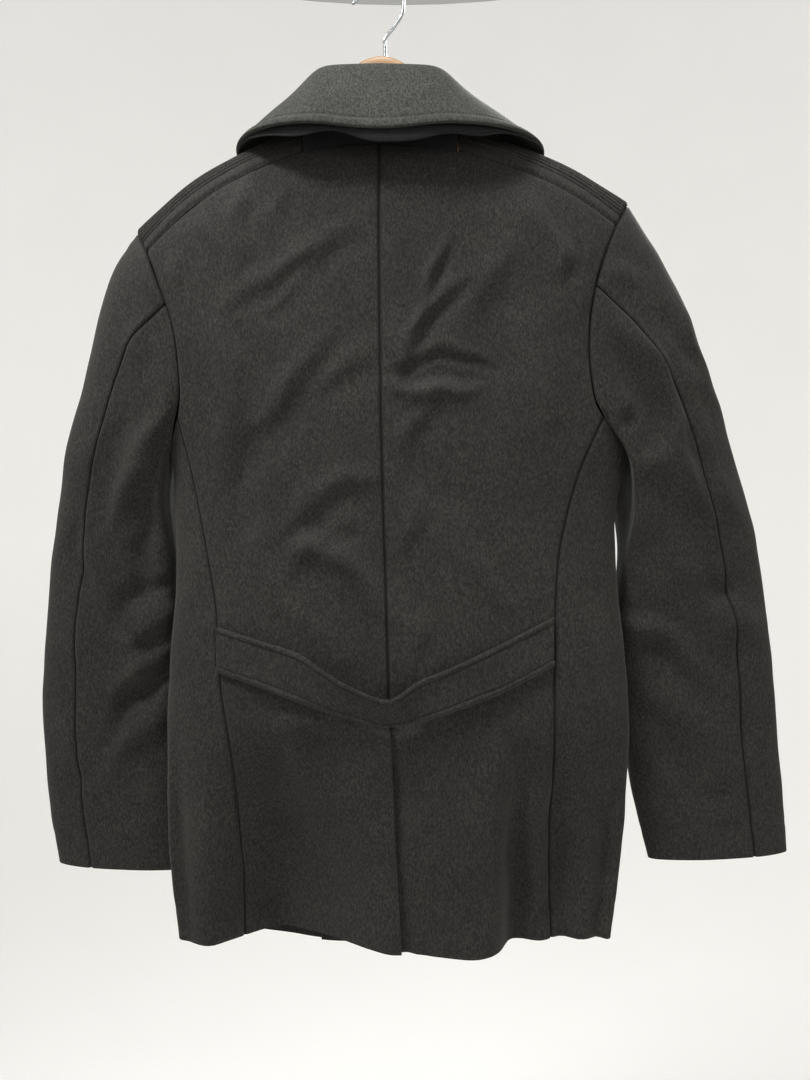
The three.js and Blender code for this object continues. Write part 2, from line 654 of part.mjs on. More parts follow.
function lapel(side) {
  const table = LAPEL[side];
  const at = Object.fromEntries(["rollX", "rollZ", "outX", "outZ"].map((c) => [c, curve(table, "t", c)]));
  const surface = (u, v) => {
    const x = mix(at.rollX(v), at.outX(v), u);
    const z = mix(at.rollZ(v), at.outZ(v), u);
    const roll = 3 * Math.exp(-u * 9); // the turned cloth stands proud along the roll line
    return onFace(x, z, -1, lapRaise(side, x) + CLOTH + 0.8 + roll);
  };
  return wall(surface, evenly(8), evenly(9), side === "left" ? 1 : -1);
}

// The neck seam from the centre back (0) over the shoulder to the top of the roll line (1).
const NECK_BACK = 0.4;
const NECK_FRONT = 0.82;
const NECK_LAP = 16;
const STAND_INSET = 1.2;
function neckSeam(t, side) {
  const sign = side === "left" ? 1 : -1;
  if (t < NECK_BACK) {
    const x = sign * NECK_HALF * (t / NECK_BACK);
    return onFace(x, backTopZ(x), 1);
  }
  const over = clamp01((t - NECK_BACK) / (NECK_FRONT - NECK_BACK));
  const point = overShoulder(sign * NECK_HALF, mix(YOKE_BACK, YOKE_FRONT, over));
  if (t <= NECK_FRONT) return point;
  const z = point.z - (NECK_LAP * (t - NECK_FRONT)) / (1 - NECK_FRONT);
  const x = frontEdgeX(FRONTS[side], z, point.z);
  return onFace(x, z, -1, lapRaise(side, x) * ease(0, NECK_LAP, point.z - z));
}

function collarAt(u) {
  const from = Math.abs(u * 2 - 1);
  const side = u < 0.5 ? "left" : "right";
  const sign = side === "left" ? 1 : -1;
  const read = (name) => curve(COLLAR, "t", name)(from);
  const wide = mix(1, COLLAR_SPREAD[side], ease(0.12, 0.42, from));
  const point = (name, scale) =>
    new THREE.Vector3(sign * read(`${name}X`) * scale, read(`${name}Y`), read(`${name}Z`));
  const [fold, edge] = [point("fold", 1), point("edge", wide)];
  const away = new THREE.Vector3(edge.x - fold.x * 0.6, edge.y - fold.y * 0.6, 0).normalize();
  const foot = neckSeam(from, side).addScaledVector(away, -CLOTH - STAND_INSET);
  const knee = foot.clone().lerp(fold, 0.25).setZ(mix(foot.z, fold.z, 0.5));
  return { foot, knee, fold, edge, away };
}

// The leaf: up from the stand, over the fold and down to the outer edge, slightly bellied.
function collarLeaf() {
  const surface = (u, v) => {
    const { knee, fold, edge, away } = collarAt(u);
    const upright = fold.clone().sub(knee).normalize();
    const rise = (up, out) => fold.clone().addScaledVector(upright, up).addScaledVector(away, out);
    const belly = fold.clone().lerp(edge, 0.42).addScaledVector(away, 8).add(new THREE.Vector3(0, 0, 4));
    const points = [rise(0.5, 0), rise(3, 0), rise(5.5, 2.5), rise(6, 9), belly, edge.clone()];
    return new THREE.CatmullRomCurve3(points, false, "centripetal").getPoint(v);
  };
  return wall(surface, evenly(26), [0, 0.2, 0.4, 0.6, 0.8, 1], -1, { thickness: COLLAR_CLOTH });
}

// The stand: from the neck seam up to the leaf. It is drawn by its inner face and grows outwards.
function collarStand() {
  const surface = (u, v) => {
    const { foot, knee, fold } = collarAt(u);
    return new THREE.QuadraticBezierCurve3(foot, knee, fold).getPoint(v);
  };
  return wall(surface, evenly(26), evenly(3), -1);
}

function backBelt() {
  const columns = ["top", "bottom", "offTop", "offBottom"];
  const at = Object.fromEntries(columns.map((column) => [column, curve(BELT, "x", column)]));
  const ends = [BELT[0].x, BELT[BELT.length - 1].x];
  const surface = (u, v) => {
    const x = mix(ends[0], ends[1], u);
    return onFace(x, mix(at.bottom(x), at.top(x), v), 1, mix(at.offBottom(x), at.offTop(x), v));
  };
  return wall(surface, evenly(24), evenly(3), 1);
}

function button(x, z) {
  const { radius, rim, thick, well } = BUTTONS;
  const profile = [
    [0, 0],
    [radius - 1.5, 0],
    [radius, 1.4],
    [radius - 0.6, thick],
    [well + 1, thick],
    [well, thick - rim],
    [0, thick - rim],
  ].map(([r, h]) => new THREE.Vector2(r, h));
  const geometry = new THREE.LatheGeometry(profile, 14);
  const at = onFace(x, z, -1, lapRaise("left", x));
  const alongX = onFace(x + 1, z, -1, lapRaise("left", x + 1)).sub(at);
  const alongZ = onFace(x, z + 1, -1, lapRaise("left", x)).sub(at);
  const normal = alongX.cross(alongZ).normalize();
  if (normal.y > 0) normal.negate();
  const turn = new THREE.Quaternion().setFromUnitVectors(new THREE.Vector3(0, 1, 0), normal);
  geometry.applyQuaternion(turn);
  const clear = 0.8; // the flat button over the slightly bowed cloth
  geometry.translate(...at.addScaledVector(normal, clear).toArray());
  return geometry;
}

// The hanger's arms follow the shoulders from inside; its crown rises through the collar.
function hangerTopZ(x) {
  const { crown, crownHalf, clear } = HANGER;
  const slope = (at) => (ridgeZ(at + 1) - ridgeZ(at - 1)) / 2;
  // Near the neck it lies lower, clear of the collar stand.
  const low = (at) => clear + 3 * (1 - ease(NECK_HALF, NECK_HALF + 34, Math.abs(at)));
  const seat = (at) => ridgeZ(at) - (CLOTH + low(at)) * Math.hypot(1, slope(at));
  const from = Math.abs(x);
  if (from >= NECK_HALF) return seat(x);
  const crownZ = crown - 12 * Math.pow(Math.min(from, crownHalf) / crownHalf, 2);
  const down = ease(crownHalf * 0.7, NECK_HALF - 8, from);
  return mix(crownZ, seat(Math.sign(x) * NECK_HALF), down);
}
function hangerWood() {
  const { reach, thick, neckTall, tall, tipTall } = HANGER;
  const xs = evenly(28, -reach, reach);
  const depth = (x) => {
    const from = Math.abs(x);
    if (from < NECK_HALF) return mix(neckTall, tall, ease(0, NECK_HALF, from));
    return mix(tall, tipTall, ease(NECK_HALF, reach, from));
  };
  const top = xs.map((x) => new THREE.Vector2(x, hangerTopZ(x)));
  const bottom = xs.map((x) => new THREE.Vector2(x, hangerTopZ(x) - depth(x))).reverse();
  const bevel = 2.5;
  const shape = new THREE.Shape([...top, ...bottom]);
  const geometry = new THREE.ExtrudeGeometry(shape, {
    depth: thick - 2 * bevel,
    bevelEnabled: true,
    bevelThickness: bevel,
    bevelSize: bevel,
    bevelOffset: -bevel,
    bevelSegments: 1,
    curveSegments: 1,
  });
  geometry.rotateX(Math.PI / 2);
  geometry.translate(0, thick / 2 - bevel, 0);
  return geometry;
}

function hangerHook() {
  const { wire, inner, kinkX, footX } = HOOK;
  const radius = inner + wire;
  const centre = new THREE.Vector3(0, 0, -inner);
  const arc = evenly(14, -8, 190).map((degrees) => {
    const turn = (degrees * Math.PI) / 180;
    return new THREE.Vector3(-radius * Math.cos(turn), 0, centre.z + radius * Math.sin(turn));
  });
  const route = [
    new THREE.Vector3(footX, 0, HANGER.crown + 0.3),
    new THREE.Vector3(footX, 0, HANGER.crown + 12),
    new THREE.Vector3(footX + 0.3, 0, -74),
    new THREE.Vector3(mix(footX, kinkX, 0.5), 0, -62),
    new THREE.Vector3(kinkX, 0, -48),
    new THREE.Vector3(-radius + 0.3, 0, -36),
    ...arc,
    new THREE.Vector3(radius + 2, 0, -33),
    new THREE.Vector3(radius + 7.5, 0, -38),
  ];
  const path = new THREE.CatmullRomCurve3(route, false, "centripetal");
  const section = new THREE.Shape(
    evenly(8, 0, 2 * Math.PI)
      .slice(0, 8)
      .map((a) => new THREE.Vector2(wire * Math.cos(a), wire * Math.sin(a))),
  );
  return new THREE.ExtrudeGeometry(section, { steps: 44, bevelEnabled: false, extrudePath: path });
}

for (const side of ["left", "right"]) {
  add(`back_${side}`, backPanel(side), WOOL);
  add(`side_${side}`, sidePanel(side), WOOL);
  add(`front_${side}`, frontPanel(side), WOOL);
  add(`shoulder_yoke_${side}`, yoke(side), WOOL);
  const round = 2 * ARMHOLE_STEPS;
  add(`sleeve_upper_${side}`, sleevePiece(side, FORE_UP - round, ELBOW_AT), WOOL);
  add(`sleeve_under_${side}`, sleevePiece(side, ELBOW_AT, FORE_UP), WOOL);
  add(`lapel_${side}`, lapel(side), WOOL);
}
add("collar_leaf", collarLeaf(), WOOL);
add("collar_stand", collarStand(), UNDER_WOOL);
add("back_belt", backBelt(), WOOL);
BUTTONS.rows.forEach((z, row) => {
  BUTTONS.columns.forEach((x, column) => {
    add(`button_${column === 0 ? "right" : "left"}_${row + 1}`, button(x, z), HORN);
  });
});
add("hanger_wood", hangerWood(), WOOD);
add("hanger_hook", hangerHook(), STEEL);

export default part;
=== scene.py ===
"""A hip-length double-breasted wool coat, seen from its belted back, on a plain wooden hanger.

Lengths are millimetres until a mesh is made. +Z is up, +Y is out of the coat's back and +X is the
wearer's left. The origin is the inside top of the hanger's hook.
"""
from math import pi, radians

import bmesh
import bpy
import numpy as np
from mathutils import Matrix, Vector


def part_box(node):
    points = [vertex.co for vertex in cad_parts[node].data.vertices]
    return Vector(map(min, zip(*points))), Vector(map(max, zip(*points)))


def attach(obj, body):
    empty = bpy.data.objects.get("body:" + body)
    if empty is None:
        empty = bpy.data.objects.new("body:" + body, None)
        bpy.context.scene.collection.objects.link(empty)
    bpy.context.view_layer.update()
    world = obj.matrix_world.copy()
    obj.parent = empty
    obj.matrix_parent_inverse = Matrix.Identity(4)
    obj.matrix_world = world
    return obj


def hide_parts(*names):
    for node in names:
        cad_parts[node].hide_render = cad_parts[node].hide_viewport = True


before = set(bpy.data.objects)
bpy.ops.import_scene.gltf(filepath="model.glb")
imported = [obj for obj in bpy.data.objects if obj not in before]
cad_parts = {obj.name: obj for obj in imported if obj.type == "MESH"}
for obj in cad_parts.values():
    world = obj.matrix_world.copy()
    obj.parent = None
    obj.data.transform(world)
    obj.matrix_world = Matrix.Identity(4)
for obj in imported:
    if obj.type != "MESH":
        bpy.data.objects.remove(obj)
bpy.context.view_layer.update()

MM = 0.001

# Cloth and sewing
CLOTH = 3.0
SEAM_DEPTH = 1.9  # how deep a pressed seam lies
SEAM_HALF = 1.7
RIB_COUNT = 14
RIB_PITCH = 6.5
RIB_HEIGHT = 2.7
YOKE_MARGIN = 14.0
NECK_HALF = 76.0
UNDERLAP = 34.0
LAP_RAISE = CLOTH + 1.6

# Levels
HEM = -985.0
VENT_TOP = -765.0
JOINT = -465.0  # where the side panels meet the armholes
ARMPIT = -500.0
FRONT_DIP = 24.0
FOLDS_TOP = -740.0

# Section shape
ROUNDNESS = 2.6
CAP_ROUNDNESS = 2.2
CAP_DROP = 110.0
SLEEVE_ROUNDNESS = 2.3

# height, left side, right side, depth of back, depth of front, middle
BODY = [
    (-1030, 203, -231, 50, 34, 6),
    (-985, 204, -232, 50, 34, 6),
    (-930, 211, -238, 53, 35, 6),
    (-860, 216, -246, 57, 37, 5),
    (-780, 216, -250, 61, 40, 4),
    (-700, 212, -246, 62, 42, 3),
    (-640, 208, -239, 61, 44, 2),
    (-560, 209, -238, 60, 46, 0),
    (-500, 214, -251, 61, 47, 0),
    (-440, 236, -264, 62, 48, 0),
    (-380, 258, -276, 62, 48, 0),
    (-300, 278, -288, 62, 46, 0),
    (-200, 292, -298, 60, 43, 0),
    (-140, 296, -302, 58, 42, 0),
]
# across, height of the shoulder ridge
RIDGE = [
    (-300, -282), (-268, -258), (-250, -246), (-222, -229), (-190, -211), (-150, -194),
    (-110, -181), (-70, -171), (0, -166), (70, -171), (110, -184), (150, -202),
    (191, -226), (225, -254), (247, -274), (266, -294), (300, -334),
]
# height, left armhole, right armhole
ARMHOLE = [
    (-510, 216, -255), (-500, 214, -251), (-489, 209, -243), (-475, 203, -230), (-461, 198, -214),
    (-440, 195, -206), (-405, 197, -202), (-374, 202, -203), (-344, 213, -208), (-307, 228, -219),
    (-274, 247, -233), (-246, 262, -250), (-230, 270, -262),
]
# height, left side-back seam, right side-back seam
BACK_SEAM = [
    (-1030, 137, -171), (-985, 137, -171), (-860, 140, -169), (-790, 144, -168), (-716, 154, -167),
    (-660, 158, -168), (-600, 168, -173), (-550, 178, -184), (-510, 188, -197), (JOINT, 199.5, -218.5),
]
# height, left side-front seam, right side-front seam
FRONT_SEAM = [
    (-1030, 172, -190), (-985, 172, -190), (-860, 176, -196), (-700, 178, -200), (-560, 184, -206),
    (JOINT, 199.5, -218.5),
]
# height, centre back seam
CENTRE_BACK = [
    (-1030, -22), (-985, -21), (-880, -15), (-765, -10), (-640, -6), (-500, -2), (-358, 0), (-200, 1),
]
# across, how far the back's hem lies out: its folds, seen from below
HEM_FOLDS = [
    (-232, 6), (-215, 14), (-199, 20), (-181, 12), (-159, 22), (-140, 16), (-127, 20), (-116, 44),
    (-104, 56), (-86, 61), (-57, 56), (-35, 50), (-11, 51), (11, 40), (27, 29), (48, 14), (70, 2),
    (92, -9), (107, -10), (129, 4), (147, 20), (166, 34), (186, 27), (204, 6),
]
FRONTS = {"left": (-76.0, NECK_HALF), "right": (64.0, -NECK_HALF)}  # straight edge, neck corner
BREAK = -402.0
LAP_NONE, LAP_FULL = 128.0, 84.0
# along, roll line across, roll line height, outer edge across, outer edge height
LAPEL = {
    "left": [
        (0, -68, -396, -62, -402), (0.25, -34, -350, 14, -398), (0.5, 0, -306, 72, -366),
        (0.75, 34, -262, 114, -322), (1, 64, -226, 142, -280),
    ],
    "right": [
        (0, -8, -309, -60, -378), (0.33, -26, -284, -94, -352), (0.66, -46, -254, -122, -318),
        (1, -64, -228, -142, -280),
    ],
}
# down the sleeve, outer fold across and height, inner fold across and height, centre, half depth
SLEEVES = {
    "left": [
        (0, 247, -274, 214, -500, 4, 48), (0.12, 276, -324, 217, -548, 1, 46),
        (0.25, 299, -402, 212, -596, -5, 42), (0.4, 325, -500, 209, -652, -13, 37),
        (0.55, 341, -592, 207, -706, -19, 32), (0.7, 352, -690, 205, -765, -23, 28),
        (0.82, 356, -775, 200, -822, -25, 24), (0.92, 350, -856, 198, -878, -26, 20),
        (1, 340, -924, 197, -930, -26, 17),
    ],
    "right": [
        (0, -250, -246, -251, -500, 4, 48), (0.12, -289, -310, -253, -550, 2, 46),
        (0.25, -322, -380, -247, -600, -4, 42), (0.4, -353, -468, -243, -655, -12, 37),
        (0.55, -385, -570, -244, -710, -18, 32), (0.7, -403, -674, -251, -766, -22, 28),
        (0.82, -413, -768, -257, -818, -24, 24), (0.92, -420, -848, -267, -868, -25, 20),
        (1, -426, -912, -279, -920, -25, 17),
    ],
}
HEAD_FADE = 0.42
ELBOW_SEAM = 66.0  # degrees round from the outer fold, on the back
FORE_SEAM = 128.0
# round from the centre back to the front end, fold point, edge point
COLLAR = [
    (0, 0, 50, -139, 0, 88, -207), (0.17, 42, 46, -140, 50, 86, -203),
    (0.34, 64, 32, -150, 104, 62, -198), (0.5, 77, 6, -157, 143, 12, -190),
    (0.66, 80, -20, -166, 150, -24, -197), (0.84, 77, -44, -190, 146, -56, -234),
    (1, 70, -58, -215, 136, -68, -267),
]
COLLAR_SPREAD = {"left": 1.0, "right": 1.12}
COLLAR_CLOTH = 4.0
# across, top edge, bottom edge, how far the top and the bottom stand off the back
BELT = [
    (-166, -659, -706, 4, 4), (-116, -683, -730, 7, 6), (-88, -696, -740, 9, 8), (-60, -708, -750, 12, 9),
    (-36, -717, -757, 17, 9), (-14, -731, -761, 24, 9), (0, -731, -761, 26, 9), (36, -716, -752, 22, 8),
    (56, -704, -746, 17, 7), (76, -692, -739, 11, 7), (121, -679, -723, 6, 6), (156, -669, -713, 4, 4),
]
BELT_CLOTH = 3.0
BELT_WIDTH = 47.0

CAMERA_AT = (-24.0, 831.0, -586.0)
LENS_MM = 27.07


def mix(a, b, t):
    return a + (b - a) * t


def ease(a, b, v):
    t = np.clip((np.asarray(v, float) - a) / (b - a), 0, 1)
    return t * t * (3 - 2 * t)


def bell(v, middle, half):
    return np.exp(-(((v - middle) / half) ** 2))


def curve(table, column):
    """A smooth curve through one column of a table, read by its first column."""
    rows = sorted(table)
    at = np.array([row[0] for row in rows], float)
    value = np.array([row[column] for row in rows], float)
    before = np.maximum(np.arange(len(at)) - 1, 0)
    after = np.minimum(np.arange(len(at)) + 1, len(at) - 1)
    slope = (value[after] - value[before]) / (at[after] - at[before])

    def read(x):
        x = np.asarray(x, float)
        i = np.clip(np.searchsorted(at, x, side="left") - 1, 0, len(at) - 2)
        span = at[i + 1] - at[i]
        t = np.clip((x - at[i]) / span, 0, 1)
        rise = t * t * (3 - 2 * t)
        bend = slope[i] * t * (1 - t) ** 2 - slope[i + 1] * t * t * (1 - t)
        return mix(value[i], value[i + 1], rise) + span * bend

    return read


def sided(table):
    return {"left": curve(table, 1), "right": curve(table, 2)}


body_left, body_right, body_back, body_front, body_middle = (curve(BODY, n) for n in range(1, 6))
ridge_z = curve(RIDGE, 1)
armhole_x = sided(ARMHOLE)
back_seam_x = sided(BACK_SEAM)
front_seam_x = sided(FRONT_SEAM)
centre_back_x = curve(CENTRE_BACK, 1)
hem_fold_y = curve(HEM_FOLDS, 1)
belt_reads = [curve(BELT, column) for column in range(1, 5)]


def sign_of(side):
    return 1.0 if side == "left" else -1.0


def ring_middle(z):
    return (body_left(z) + body_right(z)) / 2


def ring_half(z):
    return (body_left(z) - body_right(z)) / 2


def hem_fold(x, z, plain):
    inside = ease(0, 18, np.minimum(body_left(z) - x, x - body_right(z)))
    return (hem_fold_y(x) - plain) * ease(FOLDS_TOP, HEM, z) ** 0.8 * inside


def on_face(x, z, face, lift=0.0):
    """Points on the outside of the cloth, on the back (face 1) or the front (face -1)."""
    x, z = np.broadcast_arrays(np.asarray(x, float), np.asarray(z, float))
    across = np.clip(np.abs(x - ring_middle(z)) / ring_half(z), 0, 1)
    rounded = (1 - across**ROUNDNESS) ** (1 / ROUNDNESS)
    down = np.clip((ridge_z(x) - z) / CAP_DROP, 0, 1)
    cap = (1 - (1 - down) ** CAP_ROUNDNESS) ** (1 / CAP_ROUNDNESS)
    deep = (body_back(z) if face > 0 else body_front(z)) * cap
    plain = body_middle(z) + face * deep * rounded
    folded = plain + hem_fold(x, z, plain) if face > 0 else plain
    return np.stack([x, folded + face * lift, z], -1)


def turn_at(x, z):
    across = np.clip(np.abs(x - ring_middle(z)) / ring_half(z), 0, 1)
    return np.arccos(across ** (ROUNDNESS / 2))


def on_ring(turn, z, side):
    """Points round the side of the body, from the side fold (0) to the middle of the back or front."""
    x = ring_middle(z) + sign_of(side) * ring_half(z) * np.maximum(0, np.cos(turn)) ** (2 / ROUNDNESS)
    sine = np.abs(np.sin(turn)) ** (2 / ROUNDNESS)
    deep = np.where(turn > 0, body_back(z), body_front(z))
    plain = body_middle(z) + np.sign(turn) * deep * sine
    return np.stack([x, np.where(turn > 0, plain + hem_fold(x, z, plain), plain), z], -1)


class Shoulder:
    """The yoke's own measure: how far a point lies over the shoulder ridge, along the cloth."""

    STEPS = 140
    SPANS = 260

    def __init__(self):
        self.xs = np.linspace(-295, 295, self.SPANS)
        turn = np.linspace(0, pi / 2, self.STEPS)
        self.drop = CAP_DROP * (1 - np.cos(turn) ** (2 / CAP_ROUNDNESS))
        self.walked = {}
        for face in (1, -1):
            x = self.xs[:, None] + 0 * self.drop
            points = on_face(x, ridge_z(x) - self.drop, face)
            steps = np.linalg.norm(np.diff(points, axis=1), axis=-1)
            self.walked[face] = np.hstack([np.zeros((self.SPANS, 1)), np.cumsum(steps, axis=1)])

    def drop_at(self, x, down):
        """How far below the ridge a point is that lies `down` from it."""
        x, down = np.broadcast_arrays(np.asarray(x, float), np.asarray(down, float))
        place = np.clip((x - self.xs[0]) / (self.xs[1] - self.xs[0]), 0, self.SPANS - 1.001)
        low = place.astype(int)
        share = place - low
        result = np.zeros(x.shape)
        for index in np.ndindex(x.shape):
            walked = self.walked[-1 if down[index] < 0 else 1]
            n = low[index]
            route = mix(walked[n], walked[n + 1], share[index])
            result[index] = np.interp(abs(down[index]), route, self.drop)
        return result

    def point(self, x, down):
        z = ridge_z(x) - self.drop_at(x, down)
        back, front = on_face(x, z, 1), on_face(x, z, -1)
        return np.where((np.asarray(down) < 0)[..., None], front, back)

    def armhole(self, side, down):
        down = np.atleast_1d(np.asarray(down, float))
        x = np.full(down.shape, float(armhole_x[side](-270)))
        for _ in range(14):
            x = mix(x, armhole_x[side](ridge_z(x) - self.drop_at(x, down)), 0.6)
        return x


shoulder = Shoulder()
YOKE_BACK = RIB_COUNT * RIB_PITCH * 0.55 + YOKE_MARGIN
YOKE_FRONT = -(RIB_COUNT * RIB_PITCH * 0.45 + YOKE_MARGIN)


def stations(length, step, seams=(True, True)):
    """Shares 0 to 1 along a length, closer together beside each seam."""
    even = np.linspace(0, 1, max(2, round(length / step)) + 1)
    near = np.array([0, 0.7, 1.5, 2.4, 3.4]) / length
    even = even[(even > near[-1] * 1.25) & (even < 1 - near[-1] * 1.25)]
    start = near if seams[0] else near[:1]
    end = near if seams[1] else near[:1]
    return np.concatenate([start, even, 1 - end[::-1]])


def cross_unit(a, b):
    normal = np.cross(a, b)
    return normal / np.maximum(np.linalg.norm(normal, axis=-1, keepdims=True), 1e-9)


def link_object(name, data):
    thing = bpy.data.objects.new(name, data)
    bpy.context.scene.collection.objects.link(thing)
    return thing


def link_mesh(name, bm):
    """A smooth object from a bmesh, which is freed."""
    mesh = bpy.data.meshes.new(name)
    bm.to_mesh(mesh)
    bm.free()
    mesh.shade_smooth()
    return link_object(name, mesh)


def spun(outline, steps, merge):
    """A bmesh turned round the upright axis from an outline of radius and height."""
    bm = bmesh.new()
    route = [bm.verts.new((radius, 0, height)) for radius, height in outline]
    edges = [bm.edges.new(pair) for pair in zip(route, route[1:])]
    bmesh.ops.spin(
        bm, geom=route + edges, axis=(0, 0, 1), cent=(0, 0, 0), angle=2 * pi, steps=steps, use_merge=True
    )
    bmesh.ops.remove_doubles(bm, verts=bm.verts, dist=merge)
    bmesh.ops.recalc_face_normals(bm, faces=bm.faces)
    return bm


def painted_crevice_shade(fine):
    """How much each point lies in a seam, a stitch row or the valley between two ribs, 0 to 1: the painted
    shade there.
    """
    return np.clip(-fine / 1.7, 0, 1) ** 1.5


def grid_object(name, points, thickness=CLOTH, crevice_shade=None):
    """A cloth piece from a grid of points, rows by columns, with its thickness added inwards."""
    rows, columns = points.shape[:2]
    bm = bmesh.new()
    bmesh.ops.create_grid(bm, x_segments=columns - 1, y_segments=rows - 1, size=1, calc_uvs=True)
    mesh = bpy.data.meshes.new(name)
    bm.to_mesh(mesh)
    bm.free()
    flat = np.empty(len(mesh.vertices) * 3)
    mesh.vertices.foreach_get("co", flat)
    flat = flat.reshape(-1, 3)
    column = np.rint((flat[:, 0] + 1) / 2 * (columns - 1)).astype(int)
    row = np.rint((flat[:, 1] + 1) / 2 * (rows - 1)).astype(int)
    mesh.vertices.foreach_set("co", (points[row, column] * MM).ravel())
    # Painted shade: each point's depth in a seam, stitch row or rib valley, which darkens the wool's colour.
    deep = mesh.attributes.new("crevice_shade", "FLOAT", "POINT")
    deep.data.foreach_set("value", np.zeros(len(row)) if crevice_shade is None else crevice_shade[row, column])
    mesh.update()
    mesh.shade_smooth()
    piece = link_object(name, mesh)
    if thickness:
        wall = piece.modifiers.new("cloth thickness", "SOLIDIFY")
        wall.thickness = thickness * MM
        wall.offset = -1
    return piece


def cloth(name, surface, us, vs, turned, relief, thickness=CLOTH):
    """surface(u, v) in millimetres, sampled at us and vs. turned faces the cloth the other way."""
    u, v = np.meshgrid(us, vs)
    points = surface(u, v)
    along_u = np.gradient(points, axis=1)
    along_v = np.gradient(points, axis=0)
    normal = cross_unit(along_u, along_v) * (-1 if turned else 1)
    fine, broad = relief(u, v, points, normal)
    points = points + normal * (fine + broad)[..., None]
    crevice_shade = painted_crevice_shade(fine)
    if turned:
        points, crevice_shade = points[:, ::-1], crevice_shade[:, ::-1]
    return grid_object(name, points, thickness, crevice_shade)


def border_distances(points):
    """Each point's distance along the cloth from the first and last column, and the first and last row."""
    across = np.linalg.norm(np.diff(points, axis=1), axis=-1)
    along = np.linalg.norm(np.diff(points, axis=0), axis=-1)
    from_first = np.hstack([np.zeros((len(points), 1)), np.cumsum(across, axis=1)])
    from_low = np.vstack([np.zeros((1, points.shape[1])), np.cumsum(along, axis=0)])
    return from_first, from_first[:, -1:] - from_first, from_low, from_low[-1:] - from_low


def seam_groove(distance):
    """A pressed seam at the border, by the distance from it in millimetres."""
    return -SEAM_DEPTH * np.exp(-((distance / SEAM_HALF) ** 2))


def stitch_row(distance, at, depth=0.5, half=0.9):
    return -depth * np.exp(-(((distance - at) / half) ** 2))


def hem_turning(from_hem):
    """The faint hollow where the hem's turned-up cloth ends inside."""
    return stitch_row(from_hem, 32, 0.35, 5)


# Folds, each a soft ridge with a hollow beside it, as it is seen from the back.
# from across, from height, to across, to height, bow, half width, height, hollow
BACK_FOLDS = [
    (28, -292, 139, -355, 4, 9, 2.6, 0.5), (57, -320, 120, -368, -3, 7, 1.6, 0.3),
    (125, -243, 139, -329, 3, 9, 2.4, 0.4), (166, -278, 160, -314, 0, 6, 1.8, 0.4),
    (89, -250, 111, -294, 2, 8, 1.3, 0.3), (-62, -304, -40, -371, 5, 5, 2.6, 0.6),
    (-76, -339, -19, -418, 6, 6, 2.8, 0.6), (-121, -298, -86, -358, -3, 9, 1.7, 0.3),
    (-18, -423, -104, -419, -5, 5, -2.6, 0.3), (-15, -440, -90, -442, 6, 7, 3.6, 0.7),
    (-45, -452, -22, -504, 4, 9, 1.9, 0.4), (6, -397, 63, -447, 0, 8, 1.6, 0.4),
    (44, -393, 116, -466, 4, 9, 2.4, 0.6), (72, -434, 139, -504, 5, 11, 2.0, 0.5),
    (148, -368, 152, -529, -6, 12, 3.0, 0.6), (117, -485, 145, -618, 4, 13, -2.6, 0.2),
    (6, -523, 87, -564, 5, 10, 2.8, 0.6), (31, -567, 91, -621, 4, 9, 2.0, 0.5),
    (82, -586, 25, -621, -4, 10, 2.2, 0.5), (-32, -504, -82, -561, 6, 12, -2.0, 0.0),
    (-178, -303, -171, -338, 0, 9, 2.6, 0.5), (-143, -261, -171, -322, -4, 8, 2.0, 0.4),
    (-198, -305, -190, -375, 2, 8, 1.5, 0.4), (-155, -371, -149, -504, -4, 17, 2.6, 0.3),
    (-111, -358, -105, -478, 4, 14, -1.9, 0.2), (204, -305, 196, -344, 0, 7, 1.6, 0.4),
    (-19, -365, -13, -428, 0, 8, 1.2, 0.2), (-45, -535, -19, -592, 4, 10, 1.8, 0.4),
    (41, -573, -19, -662, 6, 13, 2.8, 0.6), (82, -592, 6, -624, -4, 9, 2.0, 0.4),
    (-76, -580, -127, -649, 5, 10, 2.0, 0.5), (-45, -649, -29, -706, 3, 9, 1.5, 0.4),
    (120, -580, 63, -675, 6, 10, 1.7, 0.4), (120, -763, 6, -768, -6, 10, 2.4, 0.8),
    (88, -766, 44, -852, 6, 13, 3.0, 0.5), (44, -805, -7, -884, 5, 14, 2.4, 0.5),
    (111, -805, 57, -910, 8, 16, -2.8, 0.1), (173, -823, 151, -913, 3, 12, 1.8, 0.3),
    (144, -899, 109, -938, 0, 10, 1.8, 0.3), (-45, -777, -32, -936, -3, 16, 1.6, 0.2),
    (-83, -796, -76, -961, 0, 15, -1.4, 0.2), (-155, -803, -150, -963, -2, 9, 3.4, 0.8),
    (-112, -764, -131, -847, 2, 8, 1.8, 0.4), (-206, -849, -210, -974, 0, 9, 2.4, 0.5),
    (-180, -715, -187, -825, 0, 10, 1.4, 0.3), (181, -592, 178, -683, 0, 9, 1.4, 0.3),
]

